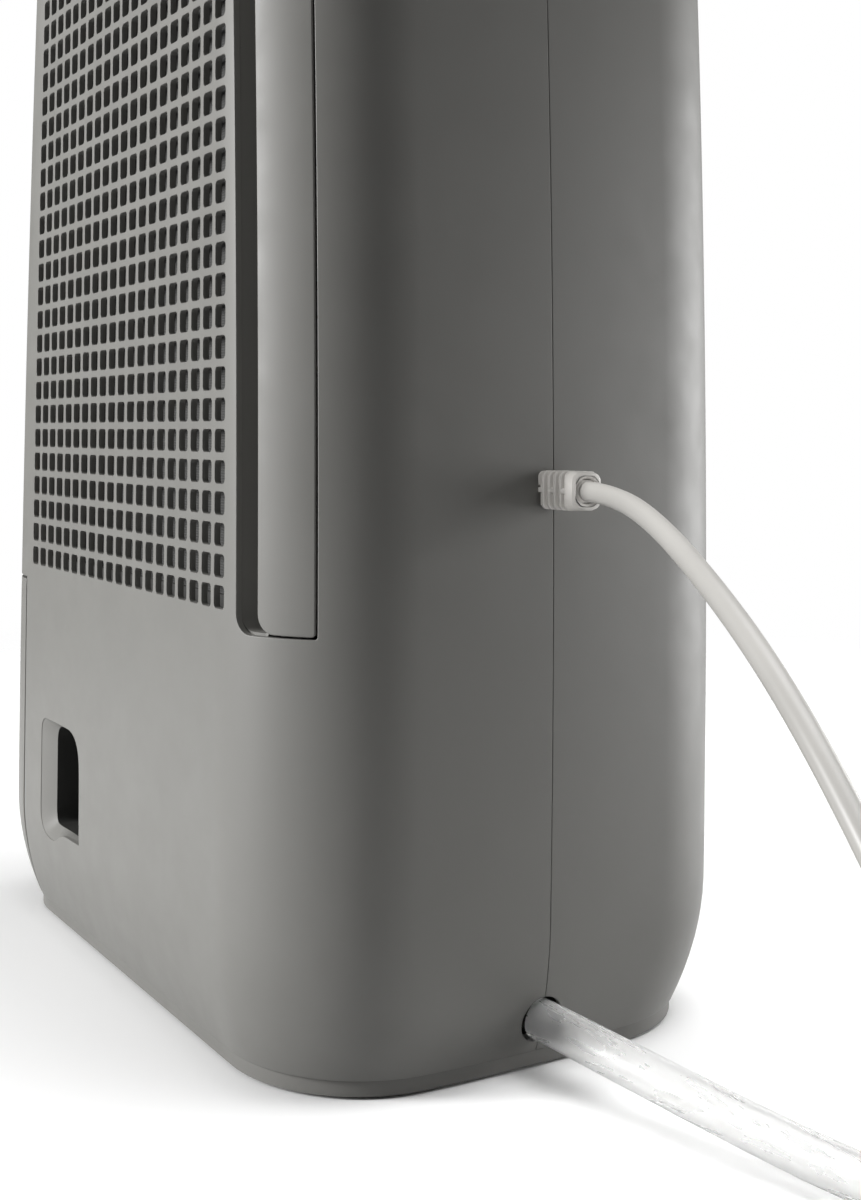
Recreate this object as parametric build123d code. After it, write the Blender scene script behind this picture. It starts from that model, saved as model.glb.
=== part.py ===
from build123d import *
import math
import os

# Slim portable dehumidifier, millimetres.  X is its width, Y its depth, Z up.
# The air intake face is +Y, the tank slides out towards +X, and the cord and
# the drain hose leave through the narrow side at -X.  The origin is under the
# middle of the case, on the floor.

# ---- driving dimensions -------------------------------------------------
HALF_W = 168.0            # corner-to-corner half width of the case at its widest
HALF_D = 107.0            # half depth of the case
CORNER_R = 55.0           # plan radius of the case's four vertical corners
SIDE_R = 700.0            # large plan radius of the two narrow sides
BELLY_Z = 57.0            # height at which the case is widest
TAPER = 0.94e-4           # how fast the half width shrinks above the belly, 1/mm
CASE_Z0 = 7.0             # bottom edge of the case, on top of the plinth
CASE_Z1 = 480.0           # seam between the case and its top cover
HEIGHT = 508.0            # overall height
WALL = 2.5                # moulded wall thickness
SEAM = 0.6                # width of the gap between the two half shells

GRILLE_PITCH = 11.2       # hole pitch of the intake grille
GRILLE_COLS = 20
GRILLE_ROWS = 27
GRILLE_X0 = -113.0        # first column at the belly's width
GRILLE_Z0 = 174.0         # bottom row
GRILLE_HOLE = 8.3         # hole size

STRIP_Z0 = 163.0          # bottom of the filter's grip strip
STRIP_Z1 = 477.0          # top of the filter's grip strip
CHANNEL_OFF = 12.4        # channel's left edge, outwards from the corner's centre line
STRIP_OFF = 22.4          # strip's left edge, outwards from the corner's centre line
STRIP_Y = 89.0            # the strip ends at this depth

RECESS_X = (33.0, 77.5)   # the deep part of the finger recess
RECESS_Z = (50.0, 99.0)
RECESS_FLOOR = 86.0       # depth of the recess's floor
RECESS_R = 9.0
RECESS_NEAR_R = (2.0, 16.0)   # bottom and top corners on the -X side
SCOOP = ((68.0, 97.0), (87.0, HALF_D))   # x and y along the recess's scooped side
SCOOP_Z0 = 44.0           # the scoop reaches lower than the pocket

TANK_X = (-28.0, 138.0)
TANK_HALF_Y = 82.0
TANK_Z = (12.0, 132.0)
PANEL_X = 112.0           # the tank's front panel is everything beyond this
PANEL_Z = 163.0           # height of the tank's front panel
TANK_WALL = 2.2
TANK_CORNER = 8.0

FAN_Z = 330.0             # height of the fan's axis
FAN_R = 72.0
SHAFT_R = 4.0
RUN_FIT = 0.05            # radial running clearance of a shaft

CORD_Z = 214.0            # height of the cord's strain relief
DRAIN_Z = 19.5            # height of the drain hose hole
CORD_D = 7.2
HOSE_D = 15.0
PLUG_X = -384.0

# power cord: centre line from the strain relief to the coil on the floor
CORD_ROUTE = [
    (-188.0, 0.0, 214.0),
    (-212.0, 7.0, 213.5),
    (-248.0, 20.0, 206.5),
    (-287.0, 34.0, 192.0),
    (-326.0, 47.5, 173.0),
    (-362.0, 59.0, 148.0),
    (-394.0, 66.0, 116.0),
    (-422.0, 68.0, 80.0),
    (-447.0, 64.0, 46.0),
    (-464.0, 52.0, 19.0),
    (-471.0, 30.0, 5.5),
    (-470.5, 5.0, 3.7),
]
# power cord: from the top of the coil round to the plug's tail
CORD_END_ROUTE = [
    (-463.5, 5.0, 12.5),
    (-466.0, -17.0, 13.5),
    (-461.0, -38.0, 15.0),
    (-446.0, -54.0, 17.0),
    (-425.0, -59.5, 19.0),
    (-404.0, -54.0, 21.0),
    (-389.0, -38.0, 22.6),
    (-384.0, -17.0, 23.8),
    (-384.0, 0.0, 24.0),
]
COIL_C = (-425.0, 5.0)
COIL_R = (27.0, 49.0)
COIL_H = 14.4

# drain hose: straight out of the case and down to the floor, then one loop
HOSE_ROUTE = [
    (-164.0, 0.0, 19.5),
    (-196.0, -5.5, 17.0),
    (-244.0, -15.0, 12.2),
    (-292.0, -25.5, 8.3),
]
LOOP_C = (-340.0, -118.0)
LOOP_R = 80.0
LOOP_ANGLES = (105, 385)  # the loop's first and last angle
LOOP_STEPS = 10


# ---- the case's outer form ------------------------------------------------
def half_width(z):
    """Half width of the case at the corners, at height z."""
    if z < BELLY_Z:
        return HALF_W - 7.2 * ((BELLY_Z - z) / 50.0) ** 2
    return HALF_W - TAPER * (z - BELLY_Z) ** 2


def half_depth(z):
    """Half depth of the case at height z."""
    if z < BELLY_Z:
        return HALF_D - 9.6 * ((BELLY_Z - z) / 50.0) ** 2
    return HALF_D


def outline(z, t):
    """Plan outline of the case at height z, moved inwards by t, as a face."""
    cx = half_width(z) - CORNER_R
    cy = half_depth(z) - CORNER_R
    r = CORNER_R - t
    reach = SIDE_R - CORNER_R
    beta = math.asin(cy / reach)
    xs = cx - reach * math.cos(beta)
    side = xs + SIDE_R - t
    tx = cx + r * math.cos(beta)
    ty = cy + r * math.sin(beta)
    mid = (math.pi / 2 + beta) / 2
    mx = cx + r * math.cos(mid)
    my = cy + r * math.sin(mid)
    top = cy + r
    edges = [
        Line((-cx, top), (cx, top)),
        ThreePointArc((cx, top), (mx, my), (tx, ty)),
        ThreePointArc((tx, ty), (side, 0), (tx, -ty)),
        ThreePointArc((tx, -ty), (mx, -my), (cx, -top)),
        Line((cx, -top), (-cx, -top)),
        ThreePointArc((-cx, -top), (-mx, -my), (-tx, -ty)),
        ThreePointArc((-tx, -ty), (-side, 0), (-tx, ty)),
        ThreePointArc((-tx, ty), (-mx, my), (-cx, top)),
    ]
    return Plane.XY.offset(z) * make_face(edges)


def case_form(t):
    """The case's outer form, moved inwards by t, as a solid."""
    levels = [CASE_Z0, 20, 36, BELLY_Z, 170, 270, 375, CASE_Z1]
    return loft([outline(z, t) for z in levels], ruled=True)


def dome_inset(z):
    """How far the top cover's edge curves in at height z."""
    rise = (z - CASE_Z1) / (HEIGHT - CASE_Z1)
    return 24.0 * (1 - math.sqrt(max(0.0, 1 - rise ** 2)))


def cover_form(t):
    """The top cover's outer form, moved inwards and down by t, as a solid."""
    levels = [CASE_Z1, 490, 498, 503.5, 506.5, HEIGHT]
    return loft([Pos(0, 0, -t) * outline(z, t + dome_inset(z)) for z in levels], ruled=True)


def box(x, y, z):
    """A block from three pairs of limits."""
    size = [b - a for a, b in (x, y, z)]
    middle = [(a + b) / 2 for a, b in (x, y, z)]
    return Pos(*middle) * Box(*size)


def rod(p, axis, r, length):
    """A cylinder that starts at p and runs along axis."""
    return Plane(origin=p, z_dir=axis) * extrude(Circle(r), length)


def corner_edge(off, z):
    """X of a vertical line on the -X, +Y corner, off outwards from its centre."""
    return -(half_width(z) - CORNER_R + off)


def corner_block(off_near, off_far, z0, z1, y0, y1):
    """A block on the -X, +Y corner that follows the case's taper."""
    steps = 4
    heights = [z0 + (z1 - z0) * k / steps for k in range(steps + 1)]
    near = [(corner_edge(off_near, z), z) for z in heights]
    far = [(corner_edge(off_far, z), z) for z in reversed(heights)]
    face = make_face(Polyline(*near, *far, close=True))
    return Plane.XZ.offset(-y1) * extrude(face, y1 - y0)


def tube(points, d):
    """A round tube on straight runs with tangent arcs; prints its radii."""
    vectors = [Vector(*p) for p in points]
    runs = [b - a for a, b in zip(vectors, vectors[1:])]
    radii = []
    for a, b in zip(runs, runs[1:]):
        half = math.radians(a.get_angle(b)) / 2
        radii.append(0.45 * min(a.length, b.length) / math.tan(half))
    path = FilletPolyline(*points, radius=radii)
    solid = sweep((path ^ 0) * Circle(d / 2), path)
    ratio = solid.volume / (math.pi * d * d / 4 * path.length)
    print("radii", [round(r) for r in radii], "least over d", round(min(radii) / d, 1))
    print("length", round(path.length), "volume ratio", round(ratio, 3))
    return solid


def pipe(points, r_out, bend):
    """A copper or rubber pipe with equal bends."""
    path = FilletPolyline(*points, radius=bend)
    return sweep((path ^ 0) * Circle(r_out), path)


OUTER = case_form(0)
INNER = case_form(WALL)


# ---- case ---------------------------------------------------------------
def grille_holes():
    """All holes of the intake grille, following the case's taper."""
    holes = []
    for row in range(GRILLE_ROWS):
        z = GRILLE_Z0 + row * GRILLE_PITCH
        shrink = half_width(z) / HALF_W
        for col in range(GRILLE_COLS):
            x = (GRILLE_X0 + col * GRILLE_PITCH) * shrink
            holes.append(Pos(x, z) * Rectangle(GRILLE_HOLE * shrink, GRILLE_HOLE))
    return Plane.XZ.offset(-HALF_D - 1) * extrude(Compound(holes), 6)


def side_holes():
    """Openings in the -X side for the strain relief and the drain hose."""
    square = box((-180, -150), (-6, 6), (CORD_Z - 6, CORD_Z + 6))
    return square + rod((-180, 0, DRAIN_Z), (1, 0, 0), 8.8, 40)


def finger_recess():
    """The recess's space: a deep pocket with one side scooped out."""
    beyond = HALF_D + 13
    pocket = box(RECESS_X, (RECESS_FLOOR, beyond), RECESS_Z)
    corners = pocket.edges().filter_by(Axis.Y).sort_by(Axis.X)
    low_r, high_r = RECESS_NEAR_R
    pocket = fillet(corners[:2].sort_by(Axis.Z)[0], low_r)
    near_high = pocket.edges().filter_by(Axis.Y).group_by(Axis.Z)[-1].sort_by(Axis.X)[0]
    pocket = fillet(near_high, high_r)
    pocket = fillet(pocket.edges().filter_by(Axis.Y).group_by(Axis.X)[-1], RECESS_R)
    inner, outer = SCOOP
    side = make_face(Polyline(inner, outer, (outer[0], beyond), (inner[0], beyond), close=True))
    side = Plane.XY.offset(SCOOP_Z0) * extrude(side, RECESS_Z[1] - SCOOP_Z0)
    return pocket + fillet(side.edges().filter_by(Axis.Y), RECESS_R)


def make_rear_shell():
    half = box((-200, 200), (SEAM / 2, 200), (0, 600))
    shell = (OUTER - INNER) & half
    shell = shell - box((PANEL_X, 200), (-200, 200), (0, PANEL_Z))
    shell = shell - corner_block(CHANNEL_OFF, 60, STRIP_Z0 - 1.3, STRIP_Z1 + 1.3, STRIP_Y - 1.2, 130)
    pocket = finger_recess()
    liner_x = (RECESS_X[0] - WALL, SCOOP[1][0] + WALL)
    liner_z = (SCOOP_Z0 - WALL, RECESS_Z[1] + WALL)
    liner = box(liner_x, (RECESS_FLOOR - WALL, HALF_D - 1), liner_z) & INNER
    liner = fillet(liner.edges().filter_by(Axis.Y), 11)
    rails = box((-95, 108), (97, HALF_D - 1.5), (164.5, 167.4))
    rails = rails + box((-88, 92), (97, HALF_D - 1.5), (472.6, 475.5))
    return shell + liner + rails - pocket - grille_holes() - side_holes()


def make_front_shell():
    half = box((-200, 200), (-200, -SEAM / 2), (0, 600))
    shell = (OUTER - INNER) & half
    return shell - box((PANEL_X, 200), (-200, 200), (0, PANEL_Z)) - side_holes()


def make_base():
    plinth = extrude(outline(CASE_Z0, 1.2), 5.8, dir=(0, 0, -1))
    pan = extrude(outline(CASE_Z0, WALL + 6), 3.0)
    base = plinth + pan
    for x in (-118, 118):
        for y in (-62, 62):
            base = base - Pos(x, y, 2.1) * Cylinder(9.3, 1.9)
            base = base - Pos(x * 0.8, y, 6) * Cylinder(1.5, 12)
            base = base - Pos(x * 0.8, y, 2.2) * Cylinder(3.6, 2.4)
    return base


def make_feet():
    return [Pos(x, y, 1.5) * Cylinder(9, 3.0) for x in (-118, 118) for y in (-62, 62)]


def make_case_screws():
    screws = []
    for x in (-94.4, 94.4):
        for y in (-62, 62):
            head = Pos(x, y, 2.3) * Cylinder(3.2, 2.0)
            screws.append(head + Pos(x, y, 6.2) * Cylinder(1.45, 7.0))
    return screws


# ---- top cover ------------------------------------------------------------
FLAP_AXIS = (25.0, 505.4)      # y and z of the outlet flap's hinge
HANDLE_AXIS_Z = 503.0
BUTTON_X = (-39.0, -13.0, 13.0, 39.0)
BUTTON_Y = -53.0
BUTTON_R = 6.0
FINGER_X = 36.0                # half width of the finger space beside the handle
FINGER_Y = (50.0, 69.0)


def handle_groove(grow):
    """The space for the carry handle and the fingers beside it, grown by grow."""
    g = grow
    bar = box((-107 - g, 107 + g), (36 - g, 53 + g), (494 - g, 520))
    for side in (-1, 1):
        x = sorted((side * (92.5 - g), side * (107 + g)))
        bar = bar + box(x, (-8 - g, 53 + g), (494 - g, 520))
    finger_y = (FINGER_Y[0] - g, FINGER_Y[1] + g)
    return bar + box((-FINGER_X - g, FINGER_X + g), finger_y, (494 - g, 520))


def make_top_cover():
    outer = cover_form(0)
    inner = cover_form(WALL)
    inner = inner + extrude(outline(CASE_Z1, WALL), 3.0, dir=(0, 0, -1))
    cover = outer - inner
    cover = cover + (handle_groove(2.0) & outer)
    cover = cover - handle_groove(0.0)
    cover = cover - box((-88, 88), (-26.5, 28.5), (480, 520))
    for side in (-1, 1):
        x = sorted((side * 87.6, side * 90.4))
        cover = cover + box(x, (20, 30), (499, 506))
        hole_x = 86.0 if side > 0 else -92.0
        cover = cover - rod((hole_x, *FLAP_AXIS), (1, 0, 0), 1.2 + RUN_FIT, 6.0)
        pin_x = 90.6 if side > 0 else -110.0
        cover = cover - rod((pin_x, 0, HANDLE_AXIS_Z), (1, 0, 0), 2.0 + RUN_FIT, 19.4)
    cover = cover - box((-64, 64), (-80, -42), (490, 520))
    ledge = box((-66, 66), (-82, -40), (500, 505.4)) - box((-61, 61), (-77, -45), (490, 520))
    return cover + ledge


def make_control_panel():
    panel = box((-63.6, 63.6), (-79.6, -42.4), (505.4, 508))
    panel = fillet(panel.edges().filter_by(Axis.Z), 3)
    for x in BUTTON_X:
        panel = panel - Pos(x, BUTTON_Y, 500) * Cylinder(BUTTON_R + 0.3, 30)
    return panel - box((-30, 30), (-75.5, -62.5), (490, 520))


def make_display():
    window = box((-29.9, 29.9), (-75.4, -62.6), (504.6, 507.8))
    return window + box((-33, 33), (-76.8, -61.8), (503.0, 505.2))


def make_button(x):
    cap = Pos(x, BUTTON_Y, 505.3) * Cylinder(BUTTON_R, 6.6)
    cap = fillet(cap.edges().group_by(Axis.Z)[-1], 0.8)
    return cap + Pos(x, BUTTON_Y, 502.4) * Cylinder(BUTTON_R + 1.5, 1.2)


def make_control_board():
    board = box((-68, 68), (-84, -38), (494.0, 495.6))
    return board + box((-26, 26), (-75, -63), (495.6, 500))


def make_louvre():
    frame = box((-87.8, 87.8), (-26.3, 28.3), (484, 496))
    frame = frame - box((-85, 85), (-24, 26), (480, 500))
    for k in range(8):
        y = -20.5 + k * 6.0
        bar = Pos(0, y, 490) * Rot(25, 0, 0) * Box(170.5, 1.6, 10)
        frame = frame + bar
    for x in (-42.5, 0, 42.5):
        frame = frame + box((x - 1, x + 1), (-25, 27), (485, 495))
    return frame


def make_flap():
    y, z = FLAP_AXIS
    plate = box((-86.8, 86.8), (-25.3, y + 1.2), (505.2, 508))
    plate = fillet(plate.edges().filter_by(Axis.Z).group_by(Axis.Y)[0], 4)
    barrel = rod((-90.2, y, z), (1, 0, 0), 1.2, 180.4)
    return plate + barrel


def make_handle():
    bar = box((-105.5, 105.5), (38.5, 50.5), (496.5, 507.6))
    bar = fillet(bar.edges().filter_by(Axis.X), 3.5)
    handle = bar
    for side in (-1, 1):
        x = sorted((side * 94.0, side * 105.5))
        arm = box(x, (0, 46), (498, 507.6))
        knuckle_x = x[0]
        knuckle = rod((knuckle_x, 0, HANDLE_AXIS_Z), (1, 0, 0), 4.6, x[1] - x[0])
        pin = rod((min(side * 91.2, side * 109.2), 0, HANDLE_AXIS_Z), (1, 0, 0), 2.0, 18.0)
        handle = handle + arm + knuckle + pin
    return handle


# ---- filter ---------------------------------------------------------------
FILTER_Z = (168.0, 472.0)
FILTER_Y = (98.5, 102.0)
FILTER_X1 = 106.0
FILTER_OFF = 9.0


def filter_plate(inset, y0, y1):
    """The filter's outline, moved inwards by inset, as a plate."""
    z0, z1 = FILTER_Z[0] + inset, FILTER_Z[1] - inset
    heights = [z0 + (z1 - z0) * k / 4 for k in range(5)]
    left = [(corner_edge(FILTER_OFF, z) + inset, z) for z in heights]
    right = [(min(FILTER_X1, -corner_edge(-2, z1)) - inset, z) for z in (z1, z0)]
    face = make_face(Polyline(*left, *right, close=True))
    return Plane.XZ.offset(-y1) * extrude(face, y1 - y0)


def make_filter_frame():
    frame = filter_plate(0, *FILTER_Y) - filter_plate(6, 90, 110)
    inside = filter_plate(5, 98.8, 99.9)
    for z in (244, 320, 396):
        frame = frame + (box((-130, 120), (98.8, 99.9), (z - 1, z + 1)) & inside)
    for x in (-60, 0, 60):
        frame = frame + (box((x - 1, x + 1), (98.8, 99.9), (165, 475)) & inside)
    return frame


def make_filter_mesh():
    return filter_plate(6.1, 100.1, 100.7)


def make_filter_grip():
    skin = (OUTER - INNER) & corner_block(STRIP_OFF, 60, STRIP_Z0, STRIP_Z1, STRIP_Y, 130)
    floor_y = STRIP_Y + 2.4
    floor = corner_block(FILTER_OFF + 0.2, 38, STRIP_Z0 + 2, STRIP_Z1 - 2, STRIP_Y, floor_y) & OUTER
    back = corner_block(STRIP_OFF, STRIP_OFF + 2.4, STRIP_Z0, STRIP_Z1, STRIP_Y, 120) & OUTER
    link = corner_block(FILTER_OFF + 0.2, FILTER_OFF + 2.4, *FILTER_Z, STRIP_Y, FILTER_Y[1])
    ends = corner_block(FILTER_OFF + 2.4, 38, STRIP_Z0, STRIP_Z0 + 2.4, STRIP_Y, 130)
    ends = ends + corner_block(FILTER_OFF + 2.4, 38, STRIP_Z1 - 2.4, STRIP_Z1, STRIP_Y, 130)
    ends = ends & INNER & box((-200, 0), (STRIP_Y, 101.5), (0, 600))
    return skin + floor + back + link + ends


# ---- water tank -----------------------------------------------------------
def make_tank():
    tank = box(TANK_X, (-TANK_HALF_Y, TANK_HALF_Y), TANK_Z)
    tank = fillet(tank.edges().filter_by(Axis.Z), TANK_CORNER)
    w = TANK_WALL
    x = (TANK_X[0] + w, TANK_X[1] - w)
    hollow = box(x, (-TANK_HALF_Y + w, TANK_HALF_Y - w), (TANK_Z[0] + w, TANK_Z[1] + 30))
    hollow = fillet(hollow.edges().filter_by(Axis.Z), TANK_CORNER - w)
    return tank - hollow


def make_tank_lid():
    y = TANK_HALF_Y
    lid = box(TANK_X, (-y, y), (TANK_Z[1], TANK_Z[1] + 2))
    lid = fillet(lid.edges().filter_by(Axis.Z), TANK_CORNER)
    rim = box((TANK_X[0] + 3, TANK_X[1] - 3), (-y + 3, y - 3), (TANK_Z[1] - 5, TANK_Z[1]))
    rim = fillet(rim.edges().filter_by(Axis.Z), TANK_CORNER - 3)
    core = box((TANK_X[0] + 5, TANK_X[1] - 5), (-y + 5, y - 5), (TANK_Z[1] - 9, TANK_Z[1]))
    core = fillet(core.edges().filter_by(Axis.Z), TANK_CORNER - 5)
    lid = lid + (rim - core)
    inlet = Pos(55, 44, TANK_Z[1]) * Cylinder(20, 20)
    return lid - inlet - Pos(10, -60, TANK_Z[1]) * Cylinder(12, 20)


def make_tank_panel():
    region = box((PANEL_X + 1.2, 200), (-200, 200), (CASE_Z0 + 1.2, PANEL_Z - 1.2))
    panel = (OUTER - INNER) & region
    gap_x = TANK_X[1] + 0.2
    for z in (40, 95):
        for y in (-45, 0, 45):
            rib = box((gap_x, 190), (y - 12, y + 12), (z, z + 2.5)) & OUTER
            panel = panel + rib
    tie = box((gap_x, gap_x + 2.4), (-58, 58), (34, 104))
    return panel + tie


FLOAT_AXIS = (118.0, 120.0)    # x and z of the float's pivot


def make_float():
    x, z = FLOAT_AXIS
    block = box((66, 98), (46, 74), (96, 110))
    block = fillet(block.edges(), 3)
    arm = box((90, x), (58, 62), (103, 108)) + box((x - 5, x + 3), (58, 62), (104, z + 2))
    return block + arm + rod((x, 53, z), (0, 1, 0), 1.5, 14)


def make_float_bracket():
    x, z = FLOAT_AXIS
    ears = box((x - 4, x + 4), (53.5, 56.5), (z - 3.5, TANK_Z[1]))
    ears = ears + box((x - 4, x + 4), (63.5, 66.5), (z - 3.5, TANK_Z[1]))
    bore = rod((x, 50, z), (0, 1, 0), 1.5 + RUN_FIT, 25)
    top = box((x - 4, x + 4), (53.5, 66.5), (TANK_Z[1] - 2.4, TANK_Z[1]))
    return ears + top - bore


# ---- refrigeration ----------------------------------------------------------
COIL_X = (-98.0, 92.0)
TUBE_R = 4.0
TUBE_Z = [200.0 + 32.0 * k for k in range(8)]
EVAPORATOR_Y = 79.0
CONDENSER_Y = 50.0
FIN_DEPTH = 23.0


def make_fins(y):
    """A stack of thin fins with a hole for every tube."""
    count = 32
    sheet = Pos(y, 320) * Rectangle(FIN_DEPTH, 264)
    for z in TUBE_Z:
        sheet = sheet - Pos(y, z) * Circle(TUBE_R + 0.1)
    fins = []
    for k in range(count):
        x = COIL_X[0] + (COIL_X[1] - COIL_X[0] - 0.6) * k / (count - 1)
        fins.append(Plane.YZ.offset(x) * extrude(sheet, 0.6))
    return fins


def make_serpentine(y):
    """Straight tubes joined by bends at both ends of the fins."""
    x0, x1 = COIL_X[0] - 10, COIL_X[1] + 2
    bend = (TUBE_Z[1] - TUBE_Z[0]) / 2 - 0.01
    points = [(x0, y, TUBE_Z[-1])]
    for k, z in enumerate(reversed(TUBE_Z)):
        far = x1 + 8 if k % 2 == 0 else COIL_X[0] - 8
        points.append((far, y, z))
        if k + 1 < len(TUBE_Z):
            points.append((far, y, z - 32.0))
    points[-1] = (x0, y, TUBE_Z[0])
    path = FilletPolyline(*points, radius=bend * 0.6)
    return sweep((path ^ 0) * Circle(TUBE_R), path)


COMP = (-87.0, -24.0)
COMP_R = 48.0
ACCUM = (-139.0, -62.0)


def make_compressor():
    can = Pos(*COMP, 92) * Cylinder(COMP_R, 136)
    can = fillet(can.edges().filter_by(GeomType.CIRCLE), 22)
    weld = Pos(*COMP, 100) * Cylinder(COMP_R + 1.2, 3)
    return can + weld


def make_compressor_base():
    plate = Pos(*COMP, 22) * extrude(RegularPolygon(68, 3, rotation=90), 2)
    plate = plate & Pos(*COMP, 22) * Cylinder(62, 10)
    for k in range(3):
        a = math.radians(90 + 120 * k)
        spot = (COMP[0] + 54 * math.cos(a), COMP[1] + 54 * math.sin(a), 20)
        plate = plate - Pos(*spot) * Cylinder(3.2, 20)
    return plate


def make_grommets():
    pads = []
    for k in range(3):
        a = math.radians(90 + 120 * k)
        spot = (COMP[0] + 54 * math.cos(a), COMP[1] + 54 * math.sin(a), 16)
        pads.append(Pos(*spot) * (Cylinder(6.5, 12) - Cylinder(2.5, 12)))
    return pads


def make_terminal_cover():
    return box((-70, -38), (30, 46), (96, 130)) - box((-68, -40), (20, 44), (98, 128))


def make_accumulator():
    can = Pos(*ACCUM, 95) * Cylinder(12, 70)
    return fillet(can.edges(), 6)


def make_discharge_pipe():
    points = [(*COMP, 160), (*COMP, 196), (-118, -6, 228), (-118, 50, 262)]
    points += [(-118, 50, TUBE_Z[-1]), (COIL_X[0] - 10, 50, TUBE_Z[-1])]
    return pipe(points, 3.0, 4.4)


def make_suction_pipe():
    points = [(COIL_X[0] - 10, 79, TUBE_Z[0]), (-122, 79, TUBE_Z[0]), (-142, 30, 176)]
    points += [(-139, -62, 168), (-139, -62, 130)]
    return pipe(points, 3.6, 6.0)


def make_drier():
    can = Pos(-128, 28, 300) * Cylinder(8, 60)
    return fillet(can.edges(), 5)


# ---- air path ---------------------------------------------------------------
def duct_profile(grow):
    """Section of the fan's casing and the neck above it, grown by grow."""
    circle = Pos(0, FAN_Z) * Circle(86 + grow)
    neck = Pos(0, (FAN_Z + 478) / 2) * Rectangle(2 * (84 + grow), 478 - FAN_Z)
    return circle + neck


def make_fan_housing():
    wall = Plane.XZ.offset(-29) * extrude(duct_profile(0) - duct_profile(-2.2), 57)
    plate = Plane.XZ.offset(28) * extrude(duct_profile(0) - Pos(0, FAN_Z) * Circle(40), 2)
    return wall + plate


def make_orifice():
    plate = Plane.XZ.offset(-31.4) * extrude(duct_profile(0) - Pos(0, FAN_Z) * Circle(58), 2.2)
    return plate


def make_impeller():
    hub = Plane.XZ.offset(24) * extrude(Pos(0, FAN_Z) * Circle(FAN_R), 2.5)
    boss = Plane.XZ.offset(24) * extrude(Pos(0, FAN_Z) * Circle(9), -12)
    ring = Pos(0, FAN_Z) * Circle(FAN_R) - Pos(0, FAN_Z) * Circle(FAN_R - 3)
    wheel = hub + boss + Plane.XZ.offset(-24) * extrude(ring, 3)
    blades = Sketch()
    count = 28
    for k in range(count):
        spot = Pos(0, FAN_Z) * Rot(0, 0, 360 * k / count) * Pos(FAN_R - 7.5, 0)
        blades = blades + spot * Rot(0, 0, 28) * Rectangle(14, 1.4)
    blades = blades & (Pos(0, FAN_Z) * Circle(FAN_R - 0.4))
    wheel = wheel + Plane.XZ.offset(-22) * extrude(blades, 46.5)
    bore = rod((0, -40, FAN_Z), (0, 1, 0), SHAFT_R, 80)
    return wheel - bore


def make_fan_motor():
    body = rod((0, -82, FAN_Z), (0, 1, 0), 36, 48)
    body = fillet(body.edges().filter_by(GeomType.CIRCLE), 5)
    collar = rod((0, -36, FAN_Z), (0, 1, 0), 11, 6)
    return body + collar - rod((0, -70, FAN_Z), (0, 1, 0), SHAFT_R + RUN_FIT, 60)


def make_motor_shaft():
    return rod((0, -62, FAN_Z), (0, 1, 0), SHAFT_R, 74)


def make_motor_bracket():
    plate = Pos(0, FAN_Z) * Circle(46) - Pos(0, FAN_Z) * Circle(36.3)
    for k in range(3):
        arm = Pos(0, FAN_Z) * Rot(0, 0, 90 + 120 * k) * Pos(60, 0) * Rectangle(34, 12)
        plate = plate + arm
    plate = plate - Pos(0, FAN_Z) * Circle(36.3)
    return Plane.XZ.offset(32.2) * extrude(plate, 2.5)


def make_drip_tray():
    tray = box((-104, 100), (35, 95), (168, 184)) - box((-102, 98), (37, 93), (170, 190))
    tray = tray + rod((55, 44, 152), (0, 0, 1), 7, 17)
    tray = tray + rod((-96, 44, 158), (0, 0, 1), 6, 12)
    tray = tray - rod((55, 44, 150), (0, 0, 1), 5, 25)
    return tray - rod((-96, 44, 150), (0, 0, 1), 4, 25)


def make_drain_pipe():
    points = [(-96, 44, 158), (-96, 44, 130), (-128, 44, 96), (-137, 36, 48)]
    points += [(-137, 20, DRAIN_Z), (-137, 0, DRAIN_Z), (-150, 0, DRAIN_Z)]
    path = FilletPolyline(*points, radius=5.8)
    return sweep((path ^ 0) * Circle(4.0), path)


def make_drain_spigot():
    spigot = rod((-150, 0, DRAIN_Z), (-1, 0, 0), 5.2, 14)
    spigot = spigot + rod((-150, 0, DRAIN_Z), (-1, 0, 0), 9.2, 2.4)
    spigot = spigot + rod((-157, 0, DRAIN_Z), (-1, 0, 0), 5.8, 2)
    return spigot - rod((-149, 0, DRAIN_Z), (-1, 0, 0), 3.6, 20)


def make_partition():
    return box((-31.4, -29.4), (-96, 30), (10.2, 150))


def make_capacitor():
    can = rod((-12, -84, 240), (0, 0, 1), 14, 52)
    return fillet(can.edges(), 2)


def make_humidity_sensor():
    return box((112, 128), (60, 74), (420, 426))


def make_tank_switch():
    return box((-29.2, -20), (-40, -20), (136, 150)) + box((-26, -23), (-34, -26), (134.4, 136))


# ---- cord and hose ----------------------------------------------------------
def make_strain_relief():
    body = box((-188, -168.2), (-7, 7), (CORD_Z - 7, CORD_Z + 7))
    body = fillet(body.edges().filter_by(Axis.X), 1.6)
    for k in range(4):
        x = -184.6 + 4.2 * k
        for low in (4.6, -7.6):
            body = body - Pos(0, 0, CORD_Z + low) * box((x, x + 1.7), (-8, 8), (0, 3))
            body = body - Pos(0, low, CORD_Z) * box((x + 2.1, x + 3.8), (0, 3), (-8, 8))
    neck = box((-168.2, -162.0), (-5.8, 5.8), (CORD_Z - 5.8, CORD_Z + 5.8))
    flange = box((-162.0, -159.0), (-8.5, 8.5), (CORD_Z - 8.5, CORD_Z + 8.5))
    return body + neck + flange


def make_cord_coil():
    x, y = COIL_C
    ring = Cylinder(COIL_R[1], COIL_H) - Cylinder(COIL_R[0], COIL_H)
    ring = fillet(ring.edges(), 3.0)
    return Pos(x, y, COIL_H / 2) * ring


def make_cord_tie():
    x, y = COIL_C
    loop = box((x + 24.5, x + 51.5), (y - 4, y + 4), (0.3, COIL_H + 1.2))
    return loop - box((x + 26.5, x + 49.8), (y - 5, y + 5), (-1, COIL_H + 0.1))


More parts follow.
